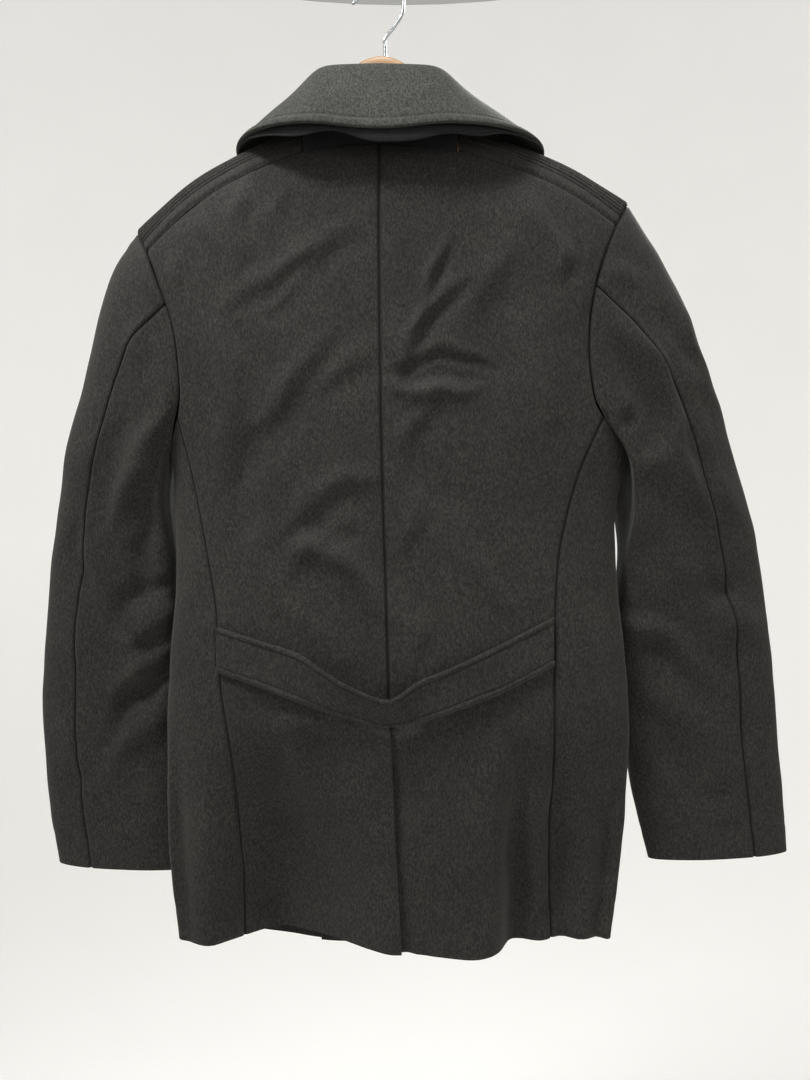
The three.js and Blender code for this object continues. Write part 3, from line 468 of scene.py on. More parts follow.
# The same, on the backs of the two sleeves.
SLEEVE_FOLDS = [
    (209, -446, 274, -576, -6, 9, 4.2, 0.7), (247, -436, 291, -585, -8, 14, -2.6, 0.1),
    (244, -297, 215, -360, -4, 8, 2.4, 0.3), (227, -367, 243, -422, 0, 8, 2.0, 0.4),
    (233, -537, 239, -638, 0, 11, -6.0, 0.0), (312, -566, 289, -638, 8, 9, -3.4, 0.3),
    (317, -652, 293, -715, 0, 16, 2.6, 0.2), (206, -625, 274, -674, 6, 8, -4.0, 0.0),
    (207, -652, 262, -696, 4, 9, 3.6, 0.4), (271, -686, 250, -739, -12, 7, 2.4, 0.5),
    (208, -686, 269, -748, 4, 8, 3.6, 0.3), (207, -712, 289, -804, 6, 9, -5.0, 0.2),
    (216, -758, 274, -811, 4, 11, 2.2, 0.3), (336, -825, 296, -830, 0, 10, -2.0, 0.2),
    (317, -748, 327, -796, 0, 12, 1.6, 0.2), (317, -456, 303, -532, 0, 18, 1.8, 0.2),
    (269, -475, 293, -513, 0, 10, 1.4, 0.3), (-219, -319, -252, -336, 2, 8, 2.2, 0.4),
    (-233, -369, -277, -436, -4, 9, 3.2, 0.4), (-276, -432, -325, -556, 5, 9, 4.0, 0.5),
    (-223, -391, -288, -494, 5, 11, -4.4, 0.0), (-267, -364, -315, -412, -3, 9, -2.6, 0.2),
    (-295, -350, -327, -417, 3, 9, 2.0, 0.3), (-232, -463, -248, -476, 0, 6, -3.4, 0.2),
    (-248, -506, -288, -509, 5, 8, 2.6, 0.4), (-315, -432, -334, -475, 0, 9, -2.0, 0.3),
    (-334, -513, -358, -571, 0, 12, 2.2, 0.3), (-252, -532, -310, -576, -5, 12, -2.0, 0.3),
    (-329, -625, -373, -640, 5, 10, -3.2, 0.0), (-334, -660, -384, -679, 4, 16, 3.4, 0.1),
    (-238, -667, -295, -686, 3, 9, 3.0, 0.4), (-288, -679, -334, -727, 4, 10, 2.6, 0.4),
    (-242, -692, -319, -727, -4, 11, -3.6, 0.0), (-252, -748, -315, -835, -4, 12, -2.8, 0.2),
    (-295, -739, -334, -796, -4, 12, 2.2, 0.2), (-257, -792, -286, -878, 0, 13, 1.8, 0.2),
    (-363, -758, -382, -825, 0, 13, -1.8, 0.2), (-334, -844, -363, -852, 0, 9, -1.6, 0.4),
    (-295, -590, -315, -638, 0, 10, 1.8, 0.3), (-238, -542, -252, -614, 0, 10, 1.8, 0.3),
]
FOLD_DEPTH = 1.8  # how much deeper the folds lie than the tables' relative heights


def fold_relief(points, normal, table):
    x = points[..., 0] + 3.2 * np.sin(points[..., 2] / 19) + 2.1 * np.sin(points[..., 2] / 8.3 + 1)
    z = points[..., 2] + 3.4 * np.sin(points[..., 0] / 17 + 2) + 1.7 * np.sin(points[..., 0] / 7.1)
    total = np.zeros(x.shape)
    for x0, z0, x1, z1, bow, half, high, hollow in table:
        length = np.hypot(x1 - x0, z1 - z0)
        dx, dz = (x1 - x0) / length, (z1 - z0) / length
        along = ((x - x0) * dx + (z - z0) * dz) / length
        beside = (x - x0) * -dz + (z - z0) * dx - bow * 4 * along * (1 - along)
        ends = ease(-0.3, 0.45, along) * (1 - ease(0.55, 1.3, along))
        wide = half * (0.75 + 0.5 * ends)
        ridge = bell(beside, 0, wide) - hollow * bell(beside, -1.6 * wide, wide * 1.2)
        total += high * ends * ridge
    return FOLD_DEPTH * total * np.clip(normal[..., 1] * 1.6, 0, 1)


def soft_waves(points):
    """The faint unevenness of heavy cloth that has been worn and folded."""
    x, y, z = points[..., 0], points[..., 1], points[..., 2]
    far = x + 0.6 * y
    slow = np.sin(far / 31 + 1.4 * np.sin(z / 67) + 0.4) * np.sin(z / 43 + 1.1 * np.sin(far / 53))
    quick = np.sin(far / 13.7 + z / 29 + 1.2 * np.sin(z / 23)) * np.sin(z / 17.3 - far / 41)
    return 1.0 * slow + 0.42 * quick


def back_relief(points, normal):
    """The body's folds, lying flat where the belt is close to them."""
    x, z = points[..., 0], points[..., 2]
    gap = np.minimum(belt_reads[2](x), belt_reads[3](x))
    top, bottom = belt_reads[0](x), belt_reads[1](x)
    under_belt = ease(bottom - 16, bottom, z) * ease(top + 16, top, z)
    ends = (x > BELT[0][0] - 8) & (x < BELT[-1][0] + 8)
    free = 1 - under_belt * ends * (1 - ease(4, 16, gap))
    return (fold_relief(points, normal, BACK_FOLDS) + soft_waves(points)) * free


def back_top_z(x):
    x = np.asarray(x, float)
    yoke_z = ridge_z(x) - shoulder.drop_at(x, YOKE_BACK)
    corner = np.where(x < 0, -NECK_HALF, NECK_HALF)
    corner_z = ridge_z(corner) - shoulder.drop_at(corner, YOKE_BACK)
    neck = mix(-204, corner_z, (np.abs(x) / NECK_HALF) ** 2)
    return np.where(np.abs(x) >= NECK_HALF, yoke_z, neck)


def back_panel(side):
    flap = UNDERLAP if side == "right" else 0
    outer_x = shoulder.armhole(side, YOKE_BACK)[0]
    outer_z = float(ridge_z(outer_x) - shoulder.drop_at(outer_x, YOKE_BACK))

    def inner_x(z):
        return centre_back_x(z) + flap * ease(VENT_TOP, VENT_TOP - 22, z)

    us = stations(200, 2.9)
    vs = stations(780, 3.1)
    top_x = mix(float(inner_x(-204)), outer_x, us)
    top_z = back_top_z(top_x)
    top_z[-1] = outer_z

    def surface(u, v):
        side_z = mix(HEM, outer_z, v)
        column_top = np.interp(u, us, top_z)
        z = mix(HEM, column_top, v)
        border = np.where(side_z < JOINT, back_seam_x[side](side_z), armhole_x[side](side_z))
        x = mix(inner_x(z), border, u)
        beyond = ease(-16, -3, x - centre_back_x(z)) if flap else 0
        lift = -beyond * (CLOTH + 2.6) * ease(VENT_TOP + 20, VENT_TOP - 2, z)
        return on_face(x, z, 1, lift)

    def relief(u, v, points, normal):
        x, z = points[..., 0], points[..., 2]
        to_centre, to_side, from_hem, to_top = border_distances(points)
        above_vent = ease(VENT_TOP - 6, VENT_TOP + 2, z)
        fine = seam_groove(to_side) + seam_groove(to_top) + seam_groove(to_centre) * above_vent
        return fine, back_relief(points, normal) + hem_turning(from_hem)

    return cloth(f"back_{side}_cloth", surface, us, vs, side == "left", relief)


def side_panel(side):
    us = stations(90, 3.0)
    vs = stations(510, 3.4, (False, True))

    def surface(u, v):
        across_top = np.abs(2 * u - 1)
        top_z = mix(ARMPIT, JOINT, across_top**1.6)
        z = mix(HEM, top_z, v)
        from_z = mix(HEM, JOINT, v)
        back = turn_at(back_seam_x[side](from_z), from_z)
        front = -turn_at(front_seam_x[side](from_z), from_z)
        top_back = turn_at(back_seam_x[side](JOINT), JOINT)
        top_front = -turn_at(front_seam_x[side](JOINT), JOINT)
        on_armhole = np.sign(1 - 2 * u) * turn_at(armhole_x[side](top_z), top_z)
        turn = mix(back, front, u) + (on_armhole - mix(top_back, top_front, u)) * v**4
        points = on_ring(turn, z, side)
        points[..., 2] -= front_dip(points[..., 0], z) * (turn < 0)
        return points

    def relief(u, v, points, normal):
        to_back, to_front, from_hem, to_top = border_distances(points)
        fine = seam_groove(to_back) + seam_groove(to_front) + seam_groove(to_top)
        return fine, back_relief(points, normal) + hem_turning(from_hem)

    return cloth(f"side_{side}_cloth", surface, us, vs, side == "left", relief)


def front_dip(x, z):
    return FRONT_DIP * (1 - ease(20, 200, np.abs(x))) * ease(-760, HEM, z)


def lap_lift(side, x):
    return LAP_RAISE * ease(LAP_NONE, LAP_FULL, x) if side == "left" else 0 * np.asarray(x, float)


def front_edge_x(side, z, top_z):
    edge, neck_x = FRONTS[side]
    share = np.clip((z - BREAK) / (top_z - BREAK), 0, 1)
    return mix(edge, neck_x, share)


def front_panel(side):
    neck_x = FRONTS[side][1]
    outer_x = shoulder.armhole(side, YOKE_FRONT)[0]
    outer_z = float(ridge_z(outer_x) - shoulder.drop_at(outer_x, YOKE_FRONT))
    neck_z = float(ridge_z(neck_x) - shoulder.drop_at(neck_x, YOKE_FRONT))
    us = stations(250, 4.5)
    vs = stations(760, 5.0)
    top_x = mix(neck_x, outer_x, us)
    top_z = ridge_z(top_x) - shoulder.drop_at(top_x, np.full(top_x.shape, YOKE_FRONT))

    def surface(u, v):
        share = np.maximum(0, mix(HEM, neck_z, v) - JOINT) / (neck_z - JOINT)
        inner_z = mix(HEM, neck_z, v)
        side_z = mix(HEM, outer_z, v)
        z = mix(inner_z, side_z, u) + (np.interp(u, us, top_z) - mix(neck_z, outer_z, u)) * share
        border = np.where(side_z < JOINT, front_seam_x[side](side_z), armhole_x[side](side_z))
        x = mix(front_edge_x(side, inner_z, neck_z), border, u)
        points = on_face(x, z, -1, lap_lift(side, x))
        points[..., 2] -= front_dip(x, z)
        return points

    def relief(u, v, points, normal):
        to_edge, to_side, from_hem, to_top = border_distances(points)
        rolled = -0.8 * np.exp(-((to_edge / 1.6) ** 2)) * (points[..., 2] < BREAK)
        topstitch = stitch_row(to_edge, 7) * (points[..., 2] < BREAK)
        fine = seam_groove(to_side) + seam_groove(to_top) + topstitch
        return fine, rolled + front_folds(points) + hem_turning(from_hem)

    return cloth(f"front_{side}_cloth", surface, us, vs, side == "right", relief)


def front_folds(points):
    """Long soft drops of the fronts, which hang a little fuller than the body ring."""
    x, z = points[..., 0], points[..., 2]
    low = 0.35 + 0.65 * ease(-420, -980, z)
    waves = 1.6 * np.sin(x / 31 + z / 240) + 1.1 * np.sin(x / 17 - z / 170 + 1.3)
    return waves * low * ease(-230, -330, z)


def yoke(side):
    sign = sign_of(side)
    span = YOKE_BACK - YOKE_FRONT
    us = np.linspace(0, 1, round(span / 0.72))
    vs = stations(130, 3.0)
    downs = mix(YOKE_FRONT, YOKE_BACK, us)
    ends = shoulder.armhole(side, downs)

    def surface(u, v):
        down = mix(YOKE_FRONT, YOKE_BACK, u)
        x = mix(sign * NECK_HALF, np.interp(u, us, ends), v)
        return shoulder.point(x, down)

    def relief(u, v, points, normal):
        down = mix(YOKE_FRONT, YOKE_BACK, u)
        start = YOKE_FRONT + YOKE_MARGIN
        at = (down - start) / RIB_PITCH
        ribbed = (at > 0) & (at < RIB_COUNT)
        rib = RIB_HEIGHT * np.abs(np.sin(at * pi)) ** 0.8
        wander = 0.12 * np.sin(v * 19 + np.floor(at) * 1.7)
        edge = np.minimum(down - YOKE_FRONT, YOKE_BACK - down)
        to_sleeve = border_distances(points)[3]
        fine = np.where(ribbed, rib + wander - 1.7, 0) + seam_groove(to_sleeve)
        return fine, 0.9 - 2.6 * np.exp(-((edge / 3.4) ** 2))

    return cloth(f"shoulder_yoke_{side}_cloth", surface, us, vs, side == "left", relief)


def armhole_loop(side, face):
    """Armhole points with their turn round the sleeve, from the ridge down one face to the armpit."""
    yoke_edge = YOKE_BACK if face > 0 else YOKE_FRONT
    downs = np.linspace(0, yoke_edge, 24)
    on_yoke_x = shoulder.armhole(side, downs)
    on_yoke = shoulder.point(on_yoke_x, downs)
    heights = np.linspace(on_yoke[-1, 2], JOINT, 60)[1:]
    on_panel = on_face(armhole_x[side](heights), heights, face)
    low = np.linspace(1, 0, 20)[1:]
    z = mix(ARMPIT, JOINT, low**1.6)
    below = on_ring(face * turn_at(armhole_x[side](z), z), z, side)
    points = np.concatenate([on_yoke, on_panel, below])
    # Where the solid's stations fall along this finer loop, and the turn that each has.
    on_yoke_marks = np.linspace(0, 23, 4)
    on_panel_marks = 23 + np.linspace(0, 59, 7)[1:]
    below_marks = 82 + np.linspace(0, 19, 5)[1:]
    marks = np.concatenate([on_yoke_marks, on_panel_marks, below_marks])
    seam_at, seam_turn = (5, ELBOW_SEAM) if face > 0 else (8, FORE_SEAM)
    last = len(marks) - 1
    step = np.arange(len(marks))
    past_seam = mix(seam_turn, 180, (step - seam_at) / (last - seam_at))
    turns = np.where(step <= seam_at, seam_turn * step / seam_at, past_seam)
    return points, np.interp(np.arange(len(points)), marks, turns)


def sleeve(side):
    """The two sleeve pieces, cut from one tube at its elbow and forearm seams."""
    read = [curve(SLEEVES[side], n) for n in range(1, 7)]
    back, back_turns = armhole_loop(side, 1)
    front, front_turns = armhole_loop(side, -1)
    loop = np.concatenate([back, front[-2:0:-1]])
    turns = np.radians(np.concatenate([back_turns, 360 - front_turns[-2:0:-1]]))
    turns3 = np.concatenate([turns - 2 * pi, turns, turns + 2 * pi])
    loop3 = np.concatenate([loop] * 3)

    def tube(turn, s):
        out_x, out_z, in_x, in_z, middle, deep = (f(s) for f in read)
        cos, sin = np.cos(turn), np.sin(turn)
        inward = (1 - np.sign(cos) * np.abs(cos) ** (2 / SLEEVE_ROUNDNESS)) / 2
        y = middle + deep * np.sign(sin) * np.abs(sin) ** (2 / SLEEVE_ROUNDNESS)
        return np.stack([mix(out_x, in_x, inward), y, mix(out_z, in_z, inward)], -1)

    def piece(name, low, high, columns):
        us = stations(columns * 3.0, 3.0)
        vs = stations(630, 3.2)

        def surface(u, v):
            turn = mix(low, high, u)
            start = np.stack([np.interp(turn, turns3, loop3[:, n]) for n in range(3)], -1)
            stay = (1 - np.clip(v / HEAD_FADE, 0, 1)) ** 2
            return tube(turn, v) + (start - tube(turn, 0 * v)) * stay[..., None]

        def relief(u, v, points, normal):
            to_first, to_last, from_head, from_cuff = border_distances(points)
            fine = seam_groove(to_first) + seam_groove(to_last) + seam_groove(from_head)
            broad = fold_relief(points, normal, SLEEVE_FOLDS) + soft_waves(points) * ease(0, 40, from_head)
            broad += sleeve_folds(side, points, normal) + stitch_row(from_cuff, 30, 0.4, 5)
            return fine, broad

        return cloth(name, surface, us, vs, side == "left", relief)

    elbow, fore = np.radians(ELBOW_SEAM), np.radians(360 - FORE_SEAM)
    upper = piece(f"sleeve_upper_{side}_cloth", fore - 2 * pi, elbow, 62)
    under = piece(f"sleeve_under_{side}_cloth", elbow, fore, 52)
    return upper, under


def sleeve_folds(side, points, normal):
    """Crumples of the sleeve's front and outer side, where the table of folds doesn't reach."""
    x, y, z = points[..., 0], points[..., 1], points[..., 2]
    across = np.abs(x) - 300
    waves = 2.2 * np.sin((z + across * 0.9) / 34) + 1.5 * np.sin((z - across * 1.3) / 21 + 0.8)
    return waves * ease(-330, -470, z) * (1 - 0.5 * ease(-800, -900, z)) * np.clip(-normal[..., 1], 0, 1)


def lapel(side):
    read = [curve(LAPEL[side], n) for n in range(1, 5)]

    def surface(u, v):
        roll_x, roll_z, out_x, out_z = (f(v) for f in read)
        x, z = mix(roll_x, out_x, u), mix(roll_z, out_z, u)
        return on_face(x, z, -1, lap_lift(side, x) + CLOTH + 0.8 + 3 * np.exp(-u * 9))

    def relief(u, v, points, normal):
        _, to_edge, to_break, to_gorge = border_distances(points)
        to_edge = np.minimum(to_edge, np.minimum(to_break, to_gorge) + 2)
        return stitch_row(to_edge, 6), 1.2 * np.sin(u * pi) - 1.0 * np.exp(-((to_edge / 1.6) ** 2))

    return cloth(f"lapel_{side}_cloth", surface, stations(90, 3), stations(190, 3), side == "right", relief)


def neck_seam(t, side):
    """The neck seam from the centre back (0) over the shoulder to the top of the roll line (1)."""
    neck_back, neck_front, neck_lap = 0.4, 0.82, 16
    sign = sign_of(side)
    x = sign * NECK_HALF * np.minimum(t / neck_back, 1)
    back = on_face(x, back_top_z(x), 1)
    over = np.clip((t - neck_back) / (neck_front - neck_back), 0, 1)
    top = shoulder.point(np.full(t.shape, sign * NECK_HALF), mix(YOKE_BACK, YOKE_FRONT, over))
    z = top[..., 2] - neck_lap * np.clip((t - neck_front) / (1 - neck_front), 0, 1)
    edge_x = front_edge_x(side, z, top[..., 2])
    front = on_face(edge_x, z, -1, lap_lift(side, edge_x) * ease(0, neck_lap, top[..., 2] - z))
    return np.where((t < neck_back)[..., None], back, np.where((t <= neck_front)[..., None], top, front))


collar_reads = [curve(COLLAR, n) for n in range(1, 7)]
LINING_ROW = 34  # the leaf's row from which the under collar follows it


def collar_frame(u):
    """Foot, fold and edge of the collar, and the way out from the neck, round the collar."""
    t = np.abs(2 * u - 1)
    sign = np.where(u < 0.5, 1.0, -1.0)
    level = np.minimum(np.hypot(t, 0.1) - 0.1 * (1 - t), 1)  # level where the two halves meet
    _, fold_y, fold_z, _, edge_y, edge_z = (f(level) for f in collar_reads)
    fold_x, edge_x = collar_reads[0](t), collar_reads[3](t)
    wide = np.where(u < 0.5, 1.0, mix(1, COLLAR_SPREAD["right"], ease(0.12, 0.42, t)))
    fold = np.stack([sign * fold_x, fold_y, fold_z], -1)
    edge = np.stack([sign * edge_x * wide, edge_y, edge_z], -1)
    away = edge - fold * 0.6
    away[..., 2] = 0
    away /= np.linalg.norm(away, axis=-1, keepdims=True)
    seam = np.where((u < 0.5)[..., None], neck_seam(t, "left"), neck_seam(t, "right"))
    foot = seam - away * (CLOTH + 1.2)
    knee = mix(foot, fold, 0.25)
    knee[..., 2] = mix(foot[..., 2], fold[..., 2], 0.5)
    return foot, knee, fold, edge, away


def through(points, shares):
    """A smooth route through a list of point grids, read at shares 0 to 1 along its rows."""
    chain = np.stack(points)
    gaps = np.linalg.norm(np.diff(chain, axis=0), axis=-1).mean(axis=tuple(range(1, chain.ndim - 1)))
    knots = np.concatenate([[0], np.cumsum(np.sqrt(gaps))])
    knots /= knots[-1]
    tangent = np.gradient(chain, knots, axis=0)
    i = np.clip(np.searchsorted(knots, shares, side="right") - 1, 0, len(knots) - 2)
    span = knots[i + 1] - knots[i]
    t = (shares - knots[i]) / span
    rows = []
    for n in range(len(shares)):
        a, b, s, h = i[n], i[n] + 1, t[n], span[n]
        rise = s * s * (3 - 2 * s)
        bend = tangent[a] * s * (1 - s) ** 2 - tangent[b] * s * s * (1 - s)
        rows.append(mix(chain[a], chain[b], rise) + h * bend)
    return np.stack(rows)


def collar_measures(points):
    """The outward normal, and each point's distance along the cloth from the last row."""
    along_u, along_v = np.gradient(points, axis=1), np.gradient(points, axis=0)
    walked = np.cumsum(np.linalg.norm(along_v, axis=-1)[::-1], axis=0)[::-1]
    return cross_unit(along_v, along_u), walked


def collar_leaf():
    us = stations(640, 2.4)
    vs = np.concatenate([np.linspace(0, 0.5, 22), np.linspace(0.5, 1, 52)[1:]])
    foot, knee, fold, edge, away = collar_frame(us)
    upright = fold - knee
    upright /= np.linalg.norm(upright, axis=-1, keepdims=True)
    belly = mix(fold, edge, 0.42) + away * 8 + np.array([0, 0, 4.0])

    def rise(up, out):
        return fold + upright * up + away * out

    points = through([rise(0.2, 0), rise(3, 0), rise(5.5, 2.5), rise(6, 9), belly, edge], vs)
    normal, walked = collar_measures(points)
    t = np.abs(2 * us - 1)[None, :]
    wave = 1.5 * np.sin(us * 21 + 0.6)[None, :] * ease(70, 0, walked)
    broad = wave + 1.3 * bell(walked, 6, 5) - 0.9 * np.exp(-((walked / 1.5) ** 2))
    ends = np.minimum(us, 1 - us)[None, :] * 640
    fine = stitch_row(walked, 12, 0.8, 1.1) + stitch_row(ends, 6, 0.6, 1.0) * (t > 0.9)
    leaf = points + normal * (fine + broad)[..., None]
    lined = collar_lining(points, normal, away, us)
    return grid_object("collar_leaf_cloth", leaf[:, ::-1], COLLAR_CLOTH, painted_crevice_shade(fine)[:, ::-1]), lined


def collar_lining(leaf, normal, away, us):
    """The under collar at the back, whose stitched edge hangs in soft waves below the leaf's; its darker wool
    is painted shade under the leaf.
    """
    behind = np.abs(us - 0.5) < 0.29
    x = leaf[-1, behind, 0]
    middle = 1 - ease(92, 150, np.abs(x))
    # The drop is deeper at the sides so that more of the dark under collar shows there, as painted shade under
    # the leaf.
    drop = 3 + 9 * bell(x, -15, 34) + 4 * bell(x, -80, 26) + 5 * bell(x, 88, 24) + 1.4 * np.sin(x / 9)
    drop = (drop * middle)[None, :, None]
    inside = mix(3.2, 5.4, middle)[None, :, None]
    upper = leaf[LINING_ROW:, behind] - normal[LINING_ROW:, behind] * inside
    last = upper[-1:]
    run = last - upper[-5:-4]
    run /= np.linalg.norm(run, axis=-1, keepdims=True)
    share = np.linspace(0, 1, 12)[1:, None, None]
    out = away[behind][None]
    lower = last + run * drop * share - out * drop * 0.35 * share**2
    points = np.concatenate([upper, lower])
    outward, walked = collar_measures(points)
    rows = sum(stitch_row(walked, at, 0.7, 0.8) for at in (3.0, 7.0, 11.0))
    fine = rows * ease(40, 80, np.abs(points[..., 0]))
    points = points + outward * fine[..., None]
    return grid_object("collar_under_cloth", points[:, ::-1], 1.4, painted_crevice_shade(fine)[:, ::-1])


def collar_stand():
    us = stations(460, 3.0)
    vs = np.linspace(0, 1, 16)
    foot, knee, fold, _, _ = collar_frame(us)
    t = vs[:, None, None]
    points = foot * (1 - t) ** 2 + knee * 2 * t * (1 - t) + fold * t * t
    below = foot - np.array([0, 0, 5.0])
    points = np.concatenate([below[None], points])
    return grid_object("collar_stand_cloth", points[:, ::-1], CLOTH)


def back_belt():
    low, high = BELT[-1][0], BELT[0][0]

    def surface(u, v):
        x = mix(low, high, u)
        top, bottom, off_top, off_bottom = (read(x) for read in belt_reads)
        return on_face(x, mix(bottom, top, v), 1, mix(off_bottom, off_top, v))

    def relief(u, v, points, normal):
        to_edge = np.minimum(v, 1 - v) * BELT_WIDTH
        puff = 0.9 * bell(to_edge, 3.2, 3) - 1.2 * np.exp(-((to_edge / 1.3) ** 2))
        soft = 0.8 * np.sin(u * 23 + v * 2) * ease(0, 8, to_edge)
        return stitch_row(to_edge, 6.5, 0.8, 1.0), puff + soft

    us = stations(340, 2.4)
    vs = np.linspace(0, 1, 56)
    return cloth("back_belt_cloth", surface, us, vs, False, relief, BELT_CLOTH)


def button(name, node):
    """A coat button: a turned rim round a dished middle, with crossed thread and no holes cut."""
    low, high = (Vector(corner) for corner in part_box(node))
    middle, radius = (low + high) / 2, (high.x - low.x) / 2
    thick = 0.0042
    # from the middle out: share of the radius, share of the thickness
    outline = [
        (0.0, 0.62), (0.36, 0.6), (0.6, 0.66), (0.72, 0.84), (0.8, 1.0), (0.88, 1.0),
        (0.95, 0.86), (1.0, 0.56), (0.97, 0.26), (0.88, 0.1), (0.0, 0.08),
    ]
    bm = spun([(share * radius, height * thick) for share, height in outline], 48, 1e-6)
    lying = Matrix.Rotation(pi / 2, 4, "X")
    for turn in (pi / 4, -pi / 4):
        over_dish = Matrix.Translation((0, 0, thick * 0.72))
        thread = bmesh.ops.create_cone(
            bm, cap_ends=True, segments=10, radius1=0.0007, radius2=0.0007, depth=radius * 0.62,
            matrix=over_dish @ Matrix.Rotation(turn, 4, "Z") @ lying,
        )
        for face in {face for vert in thread["verts"] for face in vert.link_faces}:
            face.material_index = 1
    seat = Matrix.Translation((middle.x, high.y, middle.z))
    bmesh.ops.transform(bm, matrix=seat @ lying, verts=bm.verts)
    return link_mesh(name, bm)


def round_bar(name, sections):
    """A closed bar from rings of points, rows by columns, with its two ends drawn to their middles."""
    middles = sections.mean(axis=1, keepdims=True)
    first = middles[:1] + 0 * sections[:1]
    last = middles[-1:] + 0 * sections[:1]
    rings = np.concatenate([first, sections, last])
    rings = np.concatenate([rings, rings[:, :1]], axis=1)
    piece = grid_object(name, rings, 0)
    bm = bmesh.new()
    bm.from_mesh(piece.data)
    bmesh.ops.remove_doubles(bm, verts=bm.verts, dist=1e-6)
    bmesh.ops.recalc_face_normals(bm, faces=bm.faces)
    bm.to_mesh(piece.data)
    bm.free()
    piece.data.shade_smooth()
    return piece


HANGER_REACH = 214.0
HANGER_HALF_THICK = 7.5
CROWN = -93.0
CROWN_HALF = 30.0


def hanger_top_z(x):
    far = np.abs(x)

    def seat(at):
        slope = (ridge_z(at + 1) - ridge_z(at - 1)) / 2
        low = 1.4 + 3 * (1 - ease(NECK_HALF, NECK_HALF + 34, np.abs(at)))
        return ridge_z(at) - (CLOTH + low) * np.hypot(1, slope)

    crown_z = CROWN - 12 * (np.minimum(far, CROWN_HALF) / CROWN_HALF) ** 2
    corner = np.where(x < 0, -NECK_HALF, NECK_HALF)
    neck = mix(crown_z, seat(corner), ease(CROWN_HALF * 0.7, NECK_HALF - 8, far))
    return np.where(far >= NECK_HALF, seat(np.asarray(x, float)), neck)


def hanger_wood():
    xs = np.linspace(-HANGER_REACH, HANGER_REACH, 180)
    far = np.abs(xs)
    top = hanger_top_z(xs)
    arm = mix(30, 15, ease(NECK_HALF, HANGER_REACH, far))
    depth = np.where(far < NECK_HALF, mix(58, 30, ease(0, NECK_HALF, far)), arm)
    turns = np.linspace(0, 2 * pi, 40, endpoint=False)
    cos, sin = np.cos(turns), np.sin(turns)
    round_off = 0.45  # a squarish section with well rounded edges
    y = HANGER_HALF_THICK * np.sign(cos) * np.abs(cos) ** round_off
    up = np.sign(sin) * np.abs(sin) ** round_off
    shrink = np.sqrt(np.clip(1 - (far / HANGER_REACH) ** 40, 0.02, 1))[:, None]
    middle = (top - depth / 2)[:, None]
    sections = np.stack([
        xs[:, None] + 0 * up, y * shrink, middle + up * depth[:, None] / 2 * shrink,
    ], -1)
    return round_bar("hanger_wood_turned", sections)


def hook_route():
    """The wire from the wood's crown up round the hook to its free tip."""
    inner, wire, foot_x, kink_x = 21.0, 1.7, -3.5, -21.0
    radius = inner + wire
    turns = np.radians(np.linspace(-8, 190, 15))
    arc = [(-radius * np.cos(t), 0, -inner + radius * np.sin(t)) for t in turns]
    start = [(foot_x, 0, CROWN - 6), (foot_x, 0, CROWN + 12), (foot_x + 0.3, 0, -74),
             (mix(foot_x, kink_x, 0.5), 0, -62), (kink_x, 0, -48), (-radius + 0.3, 0, -36)]
    return np.array(start + arc + [(radius + 2, 0, -33), (radius + 7.5, 0, -38)], float), wire


def hanger_hook():
    route, wire = hook_route()
    shares = np.linspace(0, 1, 220)
    path = through([point for point in route[:, None, :]], shares)[:, 0]
    along = np.gradient(path, axis=0)
    along /= np.linalg.norm(along, axis=1, keepdims=True)
    side = np.array([0.0, 1.0, 0.0])
    up = np.cross(along, side)
    turns = np.linspace(0, 2 * pi, 20, endpoint=False)
    ring = np.cos(turns)[None, :, None] * side + np.sin(turns)[None, :, None] * up[:, None, :]
    taper = np.sqrt(np.clip(1 - shares**160, 0.05, 1))[:, None, None]
    return round_bar("hanger_hook_wire", path[:, None, :] + ring * wire * taper)


class Look:
    """A material and short ways to add and join its nodes."""

    def __init__(self, name):
        self.material = bpy.data.materials.new(name)
        self.material.use_nodes = True
        self.nodes = self.material.node_tree.nodes
        self.links = self.material.node_tree.links
        self.shader = self.nodes["Principled BSDF"]
        self.place = self.nodes.new("ShaderNodeTexCoord").outputs["Object"]

    def set(self, values):
        for key, value in values.items():
            self.shader.inputs[key].default_value = value

    def join(self, output, socket):
        self.links.new(output, socket)

    def stretched(self, scale):
        node = self.nodes.new("ShaderNodeMapping")
        node.inputs["Scale"].default_value = scale
        self.join(self.place, node.inputs["Vector"])
        return node.outputs["Vector"]

    def noise(self, scale, detail=2.0, roughness=0.5, place=None, distortion=0.0):
        node = self.nodes.new("ShaderNodeTexNoise")
        node.inputs["Scale"].default_value = scale
        node.inputs["Detail"].default_value = detail
        node.inputs["Roughness"].default_value = roughness
        node.inputs["Distortion"].default_value = distortion
        self.join(place or self.place, node.inputs["Vector"])
        return node.outputs["Fac"]

    def ramp(self, factor, *stops):
        node = self.nodes.new("ShaderNodeValToRGB")
        ramp = node.color_ramp
        while len(ramp.elements) < len(stops):
            ramp.elements.new(0.5)
        for element, (at, color) in zip(ramp.elements, stops):
            element.position = at
            element.color = (*color, 1) if hasattr(color, "__len__") else (color, color, color, 1)
        self.join(factor, node.inputs["Fac"])
        return node.outputs["Color"]

    def blend(self, factor, first, second, kind="MIX"):
        node = self.nodes.new("ShaderNodeMix")
        node.data_type = "RGBA"
        node.blend_type = kind
        for value, socket in ((factor, node.inputs[0]), (first, node.inputs[6]), (second, node.inputs[7])):
            if hasattr(value, "is_output"):
                self.join(value, socket)
            else:
                socket.default_value = value if not hasattr(value, "__len__") else (*value, 1)
        return node.outputs[2]

    def bump(self, height, strength, distance, under=None):
        node = self.nodes.new("ShaderNodeBump")
        node.inputs["Strength"].default_value = strength
        node.inputs["Distance"].default_value = distance
        self.join(height, node.inputs["Height"])
        if under is not None:
            self.join(under, node.inputs["Normal"])
        return node.outputs["Normal"]


